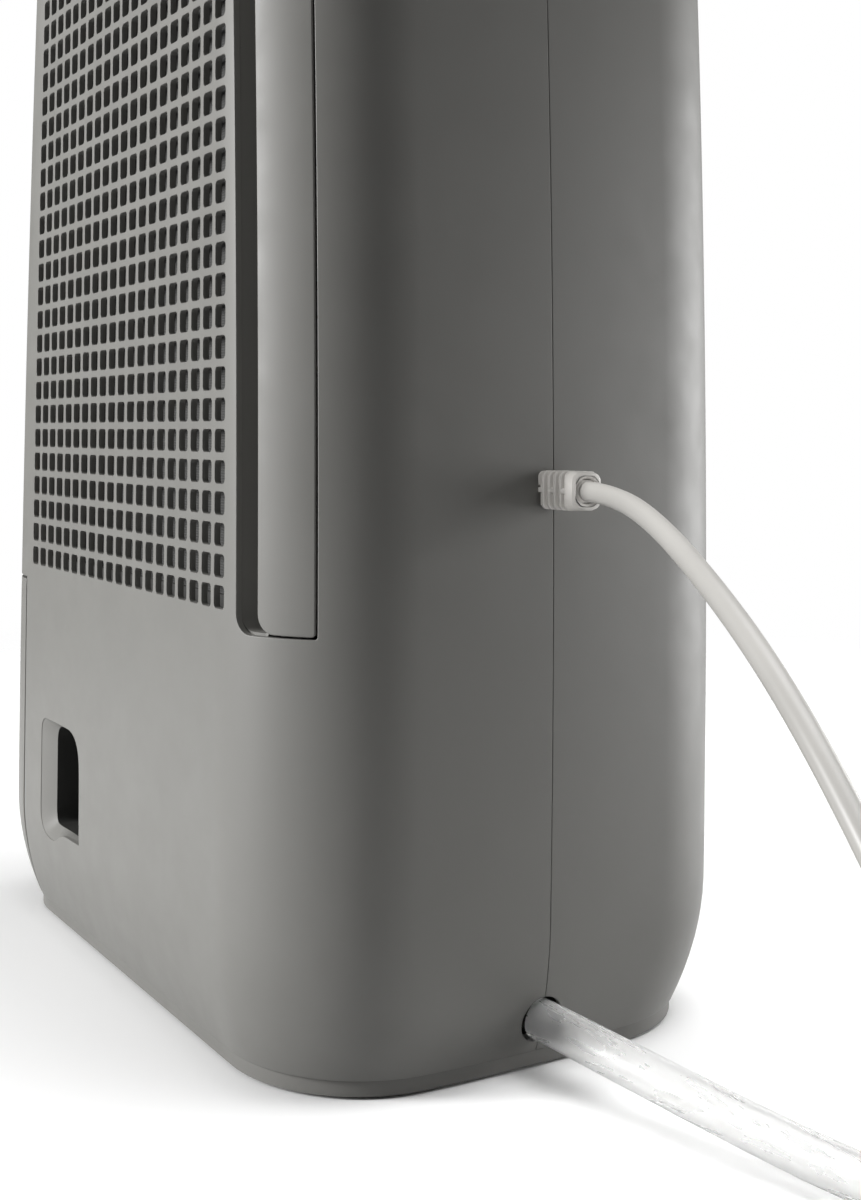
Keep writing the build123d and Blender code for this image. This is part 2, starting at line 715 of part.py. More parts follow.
def make_plug_body():
    body = box((PLUG_X - 13, PLUG_X + 13), (20, 50), (COIL_H + 0.6, COIL_H + 18.6))
    body = fillet(body.edges().filter_by(Axis.Y), 6)
    tail = Plane(origin=(PLUG_X, 20, 24), z_dir=(0, -1, 0)) * extrude(Circle(6.2), 20, taper=6)
    return body + tail


def make_plug_pins():
    return [rod((PLUG_X + s * 9.5, 50, 24), (0, 1, 0), 2.2, 19) for s in (-1, 1)]


def hose_points():
    """The hose's route: the straight run out of the case, then its loop."""
    points = list(HOSE_ROUTE)
    a0, a1 = LOOP_ANGLES
    for k in range(LOOP_STEPS + 1):
        a = math.radians(a0 + (a1 - a0) * k / LOOP_STEPS)
        x = LOOP_C[0] + LOOP_R * math.cos(a)
        y = LOOP_C[1] + LOOP_R * math.sin(a)
        points.append((x, y, HOSE_D / 2 + 0.1))
    return points


NODES = {
    "rear_shell": make_rear_shell,
    "front_shell": make_front_shell,
    "base_tray": make_base,
    "rubber_feet": make_feet,
    "case_screws": make_case_screws,
    "top_cover": make_top_cover,
    "control_panel": make_control_panel,
    "display_window": make_display,
    "button_power": lambda: make_button(BUTTON_X[0]),
    "button_fan": lambda: make_button(BUTTON_X[1]),
    "button_humidity": lambda: make_button(BUTTON_X[2]),
    "button_timer": lambda: make_button(BUTTON_X[3]),
    "control_board": make_control_board,
    "outlet_louvre": make_louvre,
    "outlet_flap": make_flap,
    "carry_handle": make_handle,
    "filter_frame": make_filter_frame,
    "filter_mesh": make_filter_mesh,
    "filter_grip": make_filter_grip,
    "water_tank": make_tank,
    "tank_lid": make_tank_lid,
    "tank_front_panel": make_tank_panel,
    "float": make_float,
    "float_bracket": make_float_bracket,
    "evaporator_fins": lambda: make_fins(EVAPORATOR_Y),
    "evaporator_tube": lambda: make_serpentine(EVAPORATOR_Y),
    "condenser_fins": lambda: make_fins(CONDENSER_Y),
    "condenser_tube": lambda: make_serpentine(CONDENSER_Y),
    "compressor": make_compressor,
    "compressor_base": make_compressor_base,
    "compressor_grommets": make_grommets,
    "terminal_cover": make_terminal_cover,
    "accumulator": make_accumulator,
    "discharge_pipe": make_discharge_pipe,
    "suction_pipe": make_suction_pipe,
    "filter_drier": make_drier,
    "fan_housing": make_fan_housing,
    "fan_inlet_plate": make_orifice,
    "fan_impeller": make_impeller,
    "motor_shaft": make_motor_shaft,
    "fan_motor": make_fan_motor,
    "motor_bracket": make_motor_bracket,
    "drip_tray": make_drip_tray,
    "drain_pipe": make_drain_pipe,
    "drain_spigot": make_drain_spigot,
    "partition": make_partition,
    "run_capacitor": make_capacitor,
    "humidity_sensor": make_humidity_sensor,
    "tank_switch": make_tank_switch,
    "strain_relief": make_strain_relief,
    "power_cord": lambda: tube(CORD_ROUTE, CORD_D),
    "cord_coil": make_cord_coil,
    "cord_tie": make_cord_tie,
    "power_cord_end": lambda: tube(CORD_END_ROUTE, CORD_D),
    "plug_body": make_plug_body,
    "plug_pins": make_plug_pins,
    "drain_hose": lambda: tube(hose_points(), HOSE_D),
}

os.makedirs("parts", exist_ok=True)
for name, make in NODES.items():
    shape = make()
    if isinstance(shape, list):
        shape = Compound(children=shape)
    export_step(shape, "parts/" + name + ".step")
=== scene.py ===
import math

import bmesh
import bpy
import numpy as np
from mathutils import Matrix, Vector
from mathutils.geometry import delaunay_2d_cdt
from mathutils.kdtree import KDTree


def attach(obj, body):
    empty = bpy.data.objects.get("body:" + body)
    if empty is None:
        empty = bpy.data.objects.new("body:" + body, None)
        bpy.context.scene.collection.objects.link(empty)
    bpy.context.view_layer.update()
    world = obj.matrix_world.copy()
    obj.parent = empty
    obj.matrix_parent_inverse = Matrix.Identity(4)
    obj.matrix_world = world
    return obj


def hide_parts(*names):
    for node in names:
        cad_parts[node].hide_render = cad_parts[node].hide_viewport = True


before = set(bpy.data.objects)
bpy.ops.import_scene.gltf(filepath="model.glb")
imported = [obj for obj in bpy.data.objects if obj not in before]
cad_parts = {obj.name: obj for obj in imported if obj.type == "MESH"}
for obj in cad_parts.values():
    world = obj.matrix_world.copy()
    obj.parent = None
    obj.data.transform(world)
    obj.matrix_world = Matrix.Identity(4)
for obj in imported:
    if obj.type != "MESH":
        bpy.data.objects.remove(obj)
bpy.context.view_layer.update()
MM = 0.001

# ---- camera -----------------------------------------------------------------
LENS = 45.08
SENSOR = 36.0
SHIFT_DOWN = -0.1197        # the framing stops short of the top of the case
EYE = Vector((-0.60714, 0.32949, 0.23019))
YAW = math.radians(-32.17)
PITCH = math.radians(-0.50)
ROLL = math.radians(0.84)


def make_camera():
    """The camera at the view's height, angle and distance."""
    data = bpy.data.cameras.new("camera")
    data.lens = LENS
    data.sensor_fit = "VERTICAL"
    data.sensor_height = SENSOR
    data.shift_y = SHIFT_DOWN
    data.clip_start = 0.01
    level = math.cos(PITCH)
    forward = Vector((math.cos(YAW) * level, math.sin(YAW) * level, math.sin(PITCH)))
    right = forward.cross(Vector((0, 0, 1))).normalized()
    up = right.cross(forward)
    tilted = right * math.cos(ROLL) + up * math.sin(ROLL)
    up = tilted.cross(forward)
    camera = bpy.data.objects.new("camera", data)
    turn = Matrix((tilted, up, -forward)).transposed().to_4x4()
    camera.matrix_world = Matrix.Translation(EYE) @ turn
    bpy.context.scene.collection.objects.link(camera)
    bpy.context.scene.camera = camera


make_camera()


# ---- materials --------------------------------------------------------------
class Nodes:
    """A small helper that wires one material's nodes."""

    def __init__(self, name):
        self.material = bpy.data.materials.new(name)
        self.material.use_nodes = True
        self.tree = self.material.node_tree
        self.shader = self.tree.nodes["Principled BSDF"]
        self.place = self.add("ShaderNodeTexCoord").outputs["Object"]

    def add(self, kind, **values):
        node = self.tree.nodes.new(kind)
        for key, value in values.items():
            setattr(node, key, value)
        return node

    def link(self, source, target):
        self.tree.links.new(source, target)

    def stretched(self, scale):
        """The piece's own coordinates, scaled along each axis."""
        node = self.add("ShaderNodeMapping")
        node.inputs["Scale"].default_value = scale
        self.link(self.place, node.inputs["Vector"])
        return node.outputs["Vector"]

    def noise(self, scale, detail=3.0, vector=None):
        node = self.add("ShaderNodeTexNoise")
        node.inputs["Scale"].default_value = scale
        node.inputs["Detail"].default_value = detail
        self.link(vector or self.place, node.inputs["Vector"])
        return node.outputs["Fac"]

    def spread(self, source, low, high):
        """Maps a 0.3 to 0.7 texture value onto low to high."""
        node = self.add("ShaderNodeMapRange")
        node.inputs["From Min"].default_value = 0.3
        node.inputs["From Max"].default_value = 0.7
        node.inputs["To Min"].default_value = low
        node.inputs["To Max"].default_value = high
        self.link(source, node.inputs["Value"])
        return node.outputs["Result"]

    def colour(self, source, dark, light):
        """Base colour that wanders between two colours."""
        node = self.add("ShaderNodeMix", data_type="RGBA")
        node.inputs["A"].default_value = (*dark, 1)
        node.inputs["B"].default_value = (*light, 1)
        self.link(self.spread(source, 0.0, 1.0), node.inputs["Factor"])
        self.link(node.outputs["Result"], self.shader.inputs["Base Color"])

    def bump(self, source, depth, strength=1.0):
        node = self.add("ShaderNodeBump")
        node.inputs["Distance"].default_value = depth
        node.inputs["Strength"].default_value = strength
        self.link(source, node.inputs["Height"])
        before = self.shader.inputs["Normal"].links
        if before:
            self.link(before[0].from_socket, node.inputs["Normal"])
        self.link(node.outputs["Normal"], self.shader.inputs["Normal"])

    def set(self, **values):
        for key, value in values.items():
            self.shader.inputs[key.replace("_", " ")].default_value = value


def shade(colour, factor):
    return tuple(min(1.0, part * factor) for part in colour)


def moulded(name, colour, roughness, grain=0.00003, scale=1500.0, mottle=0.05, **values):
    """Moulded plastic or rubber: fine spark grain, faint mottling and uneven gloss."""
    n = Nodes(name)
    n.colour(n.noise(14.0, 4.0), shade(colour, 1 - mottle), shade(colour, 1 + mottle))
    fine = n.noise(scale, 2.0)
    gloss = n.spread(n.noise(60.0, 4.0), roughness - 0.05, roughness + 0.05)
    n.link(gloss, n.shader.inputs["Roughness"])
    n.bump(fine, grain, 0.6)
    n.set(**values)
    return n.material


def metal(name, colour, roughness, along, scratch=0.00002):
    """Metal with fine drawn lines along one axis."""
    n = Nodes(name)
    lines = n.noise(40.0, 4.0, n.stretched(along))
    n.colour(lines, shade(colour, 0.85), shade(colour, 1.08))
    n.link(n.spread(lines, roughness - 0.08, roughness + 0.08), n.shader.inputs["Roughness"])
    n.bump(lines, scratch, 0.5)
    n.set(Metallic=1.0)
    return n.material


def woven(name, colour):
    """Fine square netting."""
    n = Nodes(name)
    heights = []
    for direction in ("X", "Z"):
        wave = n.add("ShaderNodeTexWave", bands_direction=direction)
        wave.inputs["Scale"].default_value = 320.0
        n.link(n.place, wave.inputs["Vector"])
        heights.append(wave.outputs["Fac"])
    both = n.add("ShaderNodeMath", operation="MAXIMUM")
    n.link(heights[0], both.inputs[0])
    n.link(heights[1], both.inputs[1])
    n.colour(both.outputs[0], shade(colour, 0.3), shade(colour, 1.6))
    n.bump(both.outputs[0], 0.0002)
    n.set(Roughness=0.7)
    return n.material


def circuit(name, colour):
    """Lacquered board with faint copper tracks."""
    n = Nodes(name)
    cells = n.add("ShaderNodeTexVoronoi", feature="DISTANCE_TO_EDGE")
    cells.inputs["Scale"].default_value = 260.0
    n.link(n.place, cells.inputs["Vector"])
    n.colour(cells.outputs["Distance"], shade(colour, 1.7), shade(colour, 0.8))
    n.bump(cells.outputs["Distance"], 0.00008)
    n.set(Roughness=0.35)
    return n.material


def clear_hose(name):
    """Soft clear tube: lightly frosted, with drawn streaks along it."""
    n = Nodes(name)
    streaks = n.noise(24.0, 4.0, n.stretched((1.0, 9.0, 9.0)))
    n.colour(streaks, (0.94, 0.94, 0.93), (0.98, 0.98, 0.98))
    n.link(n.spread(streaks, 0.22, 0.36), n.shader.inputs["Roughness"])
    n.bump(streaks, 0.00004, 0.08)
    n.set(Transmission_Weight=0.74, IOR=1.22)
    return n.material


def smoked(name):
    """Smoked window over the display."""
    n = Nodes(name)
    n.colour(n.noise(30.0), (0.010, 0.012, 0.014), (0.016, 0.018, 0.022))
    n.link(n.spread(n.noise(90.0), 0.04, 0.10), n.shader.inputs["Roughness"])
    n.bump(n.noise(20.0, 1.0), 0.0001, 0.05)
    n.set(Coat_Weight=0.6)
    return n.material


def milky(name, colour):
    """Milky translucent tank plastic."""
    n = Nodes(name)
    n.colour(n.noise(18.0, 3.0), shade(colour, 0.94), shade(colour, 1.03))
    n.link(n.spread(n.noise(70.0), 0.28, 0.40), n.shader.inputs["Roughness"])
    n.bump(n.noise(900.0, 2.0), 0.00003, 0.4)
    n.set(Transmission_Weight=0.35, IOR=1.45)
    return n.material


WARM_GREY = (0.205, 0.202, 0.190)
MATERIALS = {
    "case": moulded("case_plastic", WARM_GREY, 0.50, mottle=0.025),
    "plinth": moulded("plinth_plastic", (0.185, 0.182, 0.171), 0.52),
    "rubber": moulded("foot_rubber", (0.022, 0.022, 0.021), 0.80, grain=0.00006),
    "steel": metal("zinc_steel", (0.60, 0.60, 0.58), 0.35, (6.0, 6.0, 1.0)),
    "panel": moulded("panel_plastic", (0.020, 0.020, 0.022), 0.22, grain=0.00001, Coat_Weight=0.3),
    "window": smoked("smoked_window"),
    "button": moulded("button_plastic", (0.42, 0.42, 0.40), 0.38),
    "board": circuit("circuit_board", (0.02, 0.10, 0.04)),
    "dark_plastic": moulded("dark_plastic", (0.034, 0.034, 0.032), 0.50),
    "mesh": woven("filter_netting", (0.035, 0.035, 0.034)),
    "tank": milky("tank_plastic", (0.72, 0.75, 0.76)),
    "white_plastic": moulded("white_plastic", (0.62, 0.62, 0.59), 0.45),
    "fins": metal("fin_sheet", (0.72, 0.73, 0.75), 0.30, (1.0, 1.0, 7.0)),
    "copper": metal("drawn_copper", (0.72, 0.36, 0.20), 0.28, (1.0, 5.0, 5.0)),
    "black_paint": moulded("black_enamel", (0.012, 0.012, 0.012), 0.30,
                           grain=0.00008, scale=500.0),
    "aluminium": metal("drawn_can", (0.70, 0.70, 0.72), 0.32, (5.0, 5.0, 1.0)),
    "grey_rubber": moulded("relief_rubber", (0.60, 0.58, 0.55), 0.55, grain=0.00004),
    "cord": moulded("cord_sheath", (0.42, 0.41, 0.39), 0.36, grain=0.00002, scale=900.0),
    "clear_hose": clear_hose("hose_plastic"),
}

SLOT_NODES = {
    "case": ["rear_shell", "front_shell", "top_cover", "tank_front_panel", "filter_grip",
             "carry_handle", "outlet_flap"],
    "plinth": ["base_tray"],
    "rubber": ["rubber_feet", "compressor_grommets"],
    "steel": ["case_screws", "motor_shaft", "motor_bracket", "compressor_base", "plug_pins"],
    "panel": ["control_panel"],
    "window": ["display_window"],
    "button": ["button_power", "button_fan", "button_humidity", "button_timer"],
    "board": ["control_board"],
    "dark_plastic": ["outlet_louvre", "filter_frame", "drain_spigot", "tank_switch",
                     "terminal_cover"],
    "mesh": ["filter_mesh"],
    "tank": ["water_tank"],
    "white_plastic": ["tank_lid", "float", "float_bracket", "fan_housing", "fan_inlet_plate",
                      "fan_impeller", "drip_tray", "partition", "humidity_sensor"],
    "fins": ["evaporator_fins", "condenser_fins"],
    "copper": ["evaporator_tube", "condenser_tube", "discharge_pipe", "suction_pipe",
               "filter_drier"],
    "black_paint": ["compressor", "accumulator"],
    "aluminium": ["fan_motor", "run_capacitor"],
    "grey_rubber": ["drain_pipe", "cord_tie", "plug_body"],
}
SHARP = {"evaporator_fins", "condenser_fins", "filter_mesh", "fan_impeller"}


def dress_node(name, slot):
    """Gives a CAD node its material, smooth faces and softened edges."""
    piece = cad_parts[name]
    piece.data.materials.clear()
    piece.data.materials.append(MATERIALS[slot])
    for face in piece.data.polygons:
        face.use_smooth = True
    if name not in SHARP:
        bevel = piece.modifiers.new("soft_edges", "BEVEL")
        bevel.width = 0.35 * MM
        bevel.segments = 2
        bevel.limit_method = "ANGLE"
        bevel.angle_limit = math.radians(40)
        bevel.use_clamp_overlap = True
    split = piece.modifiers.new("sharp_edges", "EDGE_SPLIT")
    split.split_angle = math.radians(38)


for slot_name, node_names in SLOT_NODES.items():
    for node_name in node_names:
        dress_node(node_name, slot_name)


def finish_piece(piece, slot, body, *replaced):
    """Links a new piece, gives it its material and ties it to its body."""
    if not piece.users_collection:
        bpy.context.scene.collection.objects.link(piece)
    piece.data.materials.clear()
    piece.data.materials.append(MATERIALS[slot])
    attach(piece, body)
    if replaced:
        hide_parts(*replaced)
    return piece


# ---- power cord ---------------------------------------------------------------
CORD_D = 7.2
CORD_ROUTE = [
    (-188.0, 0.0, 214.0),
    (-212.0, 7.0, 213.5),
    (-248.0, 20.0, 206.5),
    (-287.0, 34.0, 192.0),
    (-326.0, 47.5, 173.0),
    (-362.0, 59.0, 148.0),
    (-394.0, 66.0, 116.0),
    (-422.0, 68.0, 80.0),
    (-447.0, 64.0, 46.0),
    (-464.0, 52.0, 19.0),
    (-471.0, 30.0, 5.5),
]
CORD_END_ROUTE = [
    (-466.0, -17.0, 13.5),
    (-461.0, -38.0, 15.0),
    (-446.0, -54.0, 17.0),
    (-425.0, -59.5, 19.0),
    (-404.0, -54.0, 21.0),
    (-389.0, -38.0, 22.6),
    (-384.0, -17.0, 23.8),
    (-384.0, 0.0, 24.0),
]
COIL_C = (-425.0, 5.0)
COIL_TURN = 16               # points in one turn
COIL_LAYERS = [(3.7, 45.4, 31.0, 2.5), (10.8, 31.0, 45.4, 2.5)]   # height, radii, turns
COIL_DIP, COIL_DIP_PART = 3.0, 0.06   # the second layer starts lower, where it leaves the first


def coil_points():
    """Turns that wind inwards on the floor and back outwards on top of them."""
    points = []
    wound = 0.0
    for z, r0, r1, turns in COIL_LAYERS:
        steps = int(turns * COIL_TURN)
        for k in range(steps):
            part = k / steps
            a = math.pi + math.tau * (wound + turns * part)
            r = r0 + (r1 - r0) * part
            rise = z - COIL_DIP if wound and part < COIL_DIP_PART else z
            points.append((COIL_C[0] + r * math.cos(a), COIL_C[1] + r * math.sin(a), rise))
        wound += turns
    return points


def smooth_curve(name, points, radius):
    """A curve of one open spline with the points as its control points."""
    data = bpy.data.curves.new(name, "CURVE")
    data.dimensions = "3D"
    spline = data.splines.new("NURBS")
    spline.points.add(len(points) - 1)
    for target, point in zip(spline.points, points):
        target.co = (point[0] * MM, point[1] * MM, point[2] * MM, 1.0)
    spline.order_u = 3
    spline.use_endpoint_u = True
    spline.resolution_u = 10
    data.bevel_depth = radius * MM
    data.bevel_resolution = 7
    data.use_fill_caps = radius > 0
    return bpy.data.objects.new(name, data)


cord = smooth_curve("mains_cord", CORD_ROUTE + coil_points() + CORD_END_ROUTE, CORD_D / 2)
finish_piece(cord, "cord", "case", "power_cord", "cord_coil", "power_cord_end")


# ---- mesh building ------------------------------------------------------------
class Skin:
    """Faces with a normal at every corner, made into one closed smooth mesh."""

    def __init__(self):
        self.points = []
        self.faces = []
        self.normals = []

    def add(self, points):
        first = len(self.points)
        self.points.extend(points)
        return list(range(first, len(self.points)))

    def face(self, ids, normals):
        self.faces.append(list(ids))
        self.normals.extend(normals)

    def band(self, ring_a, ring_b, normals_a, normals_b, closed=True):
        """Quads between two rings of the same length."""
        count = len(ring_a)
        for i in range(count if closed else count - 1):
            j = (i + 1) % count
            corner_normals = (normals_a[i], normals_a[j], normals_b[j], normals_b[i])
            self.face((ring_a[i], ring_a[j], ring_b[j], ring_b[i]), corner_normals)

    def build(self, name):
        used = sorted({i for face in self.faces for i in face})
        place = {old: new for new, old in enumerate(used)}
        mesh = bpy.data.meshes.new(name)
        points = [tuple(self.points[i] * MM) for i in used]
        mesh.from_pydata(points, [], [[place[i] for i in face] for face in self.faces])
        mesh.polygons.foreach_set("use_smooth", [True] * len(mesh.polygons))
        mesh.normals_split_custom_set([tuple(n.normalized()) for n in self.normals])
        return bpy.data.objects.new(name, mesh)


def between(a, b, k, count):
    """The point that is k of count steps along the way from a to b."""
    return tuple(p + (q - p) * k / count for p, q in zip(a, b))


def rounded(x0, x1, z0, z1, radii, steps=4, sides=1):
    """A rectangle's closed loop, anticlockwise, with a radius at each corner.

    The radii are for the corners (x0, z0), (x1, z0), (x1, z1) and (x0, z1)."""
    corners = [(x0, z0, 1, 1), (x1, z0, -1, 1), (x1, z1, -1, -1), (x0, z1, 1, -1)]
    arcs = []
    for k, (x, z, dx, dz) in enumerate(corners):
        r = radii[k]
        angles = [math.radians(180 + 90 * k + 90 * i / steps) for i in range(steps + 1)]
        arcs.append([(x + dx * r + r * math.cos(a), z + dz * r + r * math.sin(a)) for a in angles])
    points = []
    for arc, after in zip(arcs, arcs[1:] + arcs[:1]):
        a, b = arc[-1], after[0]
        points += arc
        points += [between(a, b, k, sides) for k in range(1, sides)]
    return points


def softened(corners, r, steps=4):
    """A polygon's closed loop with every corner rounded."""
    points = []
    for i, corner in enumerate(corners):
        here = Vector(corner)
        back = (Vector(corners[i - 1]) - here).normalized() * r
        ahead = (Vector(corners[(i + 1) % len(corners)]) - here).normalized() * r
        for k in range(steps + 1):
            t = k / steps
            points.append(tuple(here + back * (1 - t) ** 2 + ahead * t ** 2))
    return points


def basin(name, rings, thick=2.0):
    """A thin hollow form whose rings run from its mouth down to its floor."""
    mesh = bpy.data.meshes.new(name)
    count = len(rings[0])
    faces = []
    for k in range(len(rings) - 1):
        a, b = k * count, (k + 1) * count
        faces += [(a + i, a + (i + 1) % count, b + (i + 1) % count, b + i) for i in range(count)]
    faces.append([(len(rings) - 1) * count + i for i in range(count)])
    mesh.from_pydata([tuple(Vector(p) * MM) for ring in rings for p in ring], [], faces)
    work = bmesh.new()
    work.from_mesh(mesh)
    middle = sum((Vector(p) for p in rings[0]), Vector()) / count * MM
    work.faces.ensure_lookup_table()
    floor = work.faces[-1]
    if floor.normal.dot(middle - floor.calc_center_median()) < 0:
        bmesh.ops.reverse_faces(work, faces=work.faces)
    work.to_mesh(mesh)
    work.free()
    mesh.polygons.foreach_set("use_smooth", [True] * len(mesh.polygons))
    piece = bpy.data.objects.new(name, mesh)
    wall = piece.modifiers.new("wall", "SOLIDIFY")
    wall.thickness = thick * MM
    wall.offset = -1.0
    split = piece.modifiers.new("sharp_edges", "EDGE_SPLIT")
    split.split_angle = math.radians(50)
    return piece


def ledge(name, rings, thick=1.2):
    """A basin without its floor: the band of wall between its rings."""
    piece = basin(name, rings, thick)
    work = bmesh.new()
    work.from_mesh(piece.data)
    work.faces.ensure_lookup_table()
    bmesh.ops.delete(work, geom=[work.faces[-1]], context="FACES_ONLY")
    work.to_mesh(piece.data)
    work.free()
    return piece


def divided(points, step, closed=True):
    """The same polyline with its long runs divided evenly."""
    result = []
    count = len(points) if closed else len(points) - 1
    for i in range(count):
        a, b = points[i], points[(i + 1) % len(points)]
        parts = max(1, math.ceil(math.dist(a, b) / step))
        result += [between(a, b, k, parts) for k in range(parts)]
    return result if closed else result + [points[-1]]


def area(loop):
    return sum(a[0] * b[1] - b[0] * a[1] for a, b in zip(loop, loop[1:] + loop[:1])) / 2


def inside(points, loop):
    """For each point, whether it is inside the closed loop."""
    xs, ys = points[:, 0], points[:, 1]
    corners = np.array(loop)
    low, high = corners.min(axis=0), corners.max(axis=0)
    near = np.nonzero((xs > low[0]) & (xs < high[0]) & (ys > low[1]) & (ys < high[1]))[0]
    result = np.zeros(len(points), dtype=bool)
    if not len(near):
        return result
    x, y = xs[near], ys[near]
    odd = np.zeros(len(near), dtype=bool)
    for (ax, ay), (bx, by) in zip(loop, loop[1:] + loop[:1]):
        if ay != by:
            odd ^= ((ay > y) != (by > y)) & (x < (bx - ax) * (y - ay) / (by - ay) + ax)
    result[near] = odd
    return result


def within(points, loops):
    """For each point, whether it is inside the first loop and outside the others."""
    points = np.array(points)
    good = inside(points, loops[0])
    for hole in loops[1:]:
        good &= ~inside(points, hole)
    return good


def turned(loop, anticlockwise):
    return loop if (area(loop) > 0) == anticlockwise else loop[::-1]


def fill_points(outline, clear_of, step, gap):
    """Grid points over the outline's box that keep a gap from the loops' points."""
    tree = KDTree(len(clear_of))
    for i, point in enumerate(clear_of):
        tree.insert((*point, 0.0), i)
    tree.balance()
    low = [min(p[k] for p in outline) for k in (0, 1)]
    high = [max(p[k] for p in outline) for k in (0, 1)]
    counts = [max(1, round((high[k] - low[k]) / step[k])) for k in (0, 1)]
    points = []
    for i in range(counts[0] + 1):
        for j in range(counts[1] + 1):
            steps = zip(low, high, (i, j), counts)
            point = tuple(a + (b - a) * k / count for a, b, k, count in steps)
            if tree.find((*point, 0.0))[2] > gap:
                points.append(point)
    return points


def shell(name, place, outline, holes=(), thick=2.5, rim=0.4, step=(5.0, 6.0), gap=2.0,
          rim_steps=2):
    """A curved wall of even thickness with rounded edges round its outline and holes.

    place(u, v) gives a point of the outer face.  Loops are in u and v, and hold
    the face inside its rounded edges, which stand rim further out."""
    skin = Skin()

    def spot(u, v):
        d = 0.02
        point = place(u, v)
        du = place(u + d, v) - place(u - d, v)
        dv = place(u, v + d) - place(u, v - d)
        return point, du.cross(dv).normalized()

    loops = [turned(list(outline), True)] + [turned(list(hole), False) for hole in holes]
    flat = [point for loop in loops for point in loop]
    edges, first = [], 0
    for loop in loops:
        edges += [(first + i, first + (i + 1) % len(loop)) for i in range(len(loop))]
        first += len(loop)
    free = fill_points(loops[0], flat, step, gap)
    free = [point for point, good in zip(free, within(free, loops)) if good]
    inputs = [Vector(point) for point in flat + free]
    verts, _, faces, origin, _, _ = delaunay_2d_cdt(inputs, edges, [], 1, 1e-5)
    middles = [sum((verts[i] for i in face), Vector((0, 0))) / len(face) for face in faces]
    faces = [face for face, good in zip(faces, within(middles, loops)) if good]
    where = {}
    for new, olds in enumerate(origin):
        for old in olds:
            where[old] = new
    spots = [spot(*vert) for vert in verts]
    outward = 1.0 if turns_outward(place, verts[0]) else -1.0
    normals = [n * outward for _, n in spots]
    outer = skin.add([p for p, _ in spots])
    inner = skin.add([p - n * thick for (p, _), n in zip(spots, normals)])
    for face in faces:
        ids = list(face)
        a, b, c = (spots[i][0] for i in ids[:3])
        if (b - a).cross(c - a).dot(normals[ids[0]]) < 0:
            ids.reverse()
        skin.face([outer[i] for i in ids], [normals[i] for i in ids])
        ids.reverse()
        skin.face([inner[i] for i in ids], [-normals[i] for i in ids])
    first = 0
    for loop in loops:
        ids = [where[first + i] for i in range(len(loop))]
        first += len(loop)
        round_edge(skin, ids, spots, normals, outward, outer, inner, thick, rim, rim_steps)
    return skin.build(name)


def turns_outward(place, at):
    """True if the u, v directions of place turn about the outward normal."""
    d = 0.02
    u, v = at
    point = place(u, v)
    cross = (place(u + d, v) - point).cross(place(u, v + d) - point)
    axis = Vector((0.0, 0.0, min(point.z, 400.0)))
    return cross.dot(point - axis) > 0


def round_edge(skin, ids, spots, normals, outward, outer, inner, thick, rim, steps):
    """Rounds one loop's edge over and closes the wall there."""
    count = len(ids)
    across = []
    for i in range(count):
        p0, p1, p2 = (spots[ids[k % count]][0] for k in (i - 1, i, i + 1))
        n = normals[ids[i]]
        before = (p1 - p0).normalized().cross(n) * outward
        after = (p2 - p1).normalized().cross(n) * outward
        across.append((before + after) / max(0.35, 1 + before.dot(after)))
    flat = [normals[i] for i in ids]
    sideways = [a.normalized() for a in across]
    ring, ring_normals = [outer[i] for i in ids], flat
    for k in range(1, steps + 1):
        a = math.radians(90 * k / steps)
        points = [spots[i][0] + b * rim * math.sin(a) - n * rim * (1 - math.cos(a))
                  for i, b, n in zip(ids, across, flat)]
        turned_normals = [n * math.cos(a) + b * math.sin(a) for n, b in zip(flat, sideways)]
        new = skin.add(points)
        band_facing(skin, ring, new, ring_normals, turned_normals)
        ring, ring_normals = new, turned_normals
    foot = skin.add([spots[i][0] + b * rim - n * thick for i, b, n in zip(ids, across, flat)])
    band_facing(skin, ring, foot, ring_normals, ring_normals)
    back = [-n for n in flat]
    band_facing(skin, foot, [inner[i] for i in ids], back, back)


def band_facing(skin, ring_a, ring_b, normals_a, normals_b):
    """A band whose faces are turned the way their corner normals point."""
    a, b, c = (skin.points[i] for i in (ring_a[0], ring_a[1], ring_b[1]))
    if (b - a).cross(c - a).dot(normals_a[0] + normals_b[0]) >= 0:
        skin.band(ring_a, ring_b, normals_a, normals_b)
    else:
        skin.band(ring_b, ring_a, normals_b, normals_a)


# ---- the case's form -----------------------------------------------------------
HALF_W, HALF_D = 168.0, 107.0
CORNER_R, SIDE_R = 55.0, 700.0
BELLY_Z, TAPER = 57.0, 0.94e-4
FOOT_IN_W, FOOT_IN_D, FOOT_RUN = 7.2, 9.6, 50.0   # how the case draws in below its belly
CASE_Z0, CASE_Z1, HEIGHT = 7.0, 480.0, 508.0
FLAT = HALF_W - CORNER_R                     # half length of the flat faces
REACH = SIDE_R - CORNER_R
ROUND = CORNER_R * (math.pi / 2 - math.asin((HALF_D - CORNER_R) / REACH))
SIDE = SIDE_R * math.asin((HALF_D - CORNER_R) / REACH)
HALF_ROUND = FLAT + ROUND + SIDE             # from the middle of a face to the middle of a side


def half_width(z):
    if z < BELLY_Z:
        return HALF_W - FOOT_IN_W * ((BELLY_Z - z) / FOOT_RUN) ** 2
    return HALF_W - TAPER * (z - BELLY_Z) ** 2


def half_depth(z):
    if z < BELLY_Z:
        return HALF_D - FOOT_IN_D * ((BELLY_Z - z) / FOOT_RUN) ** 2
    return HALF_D


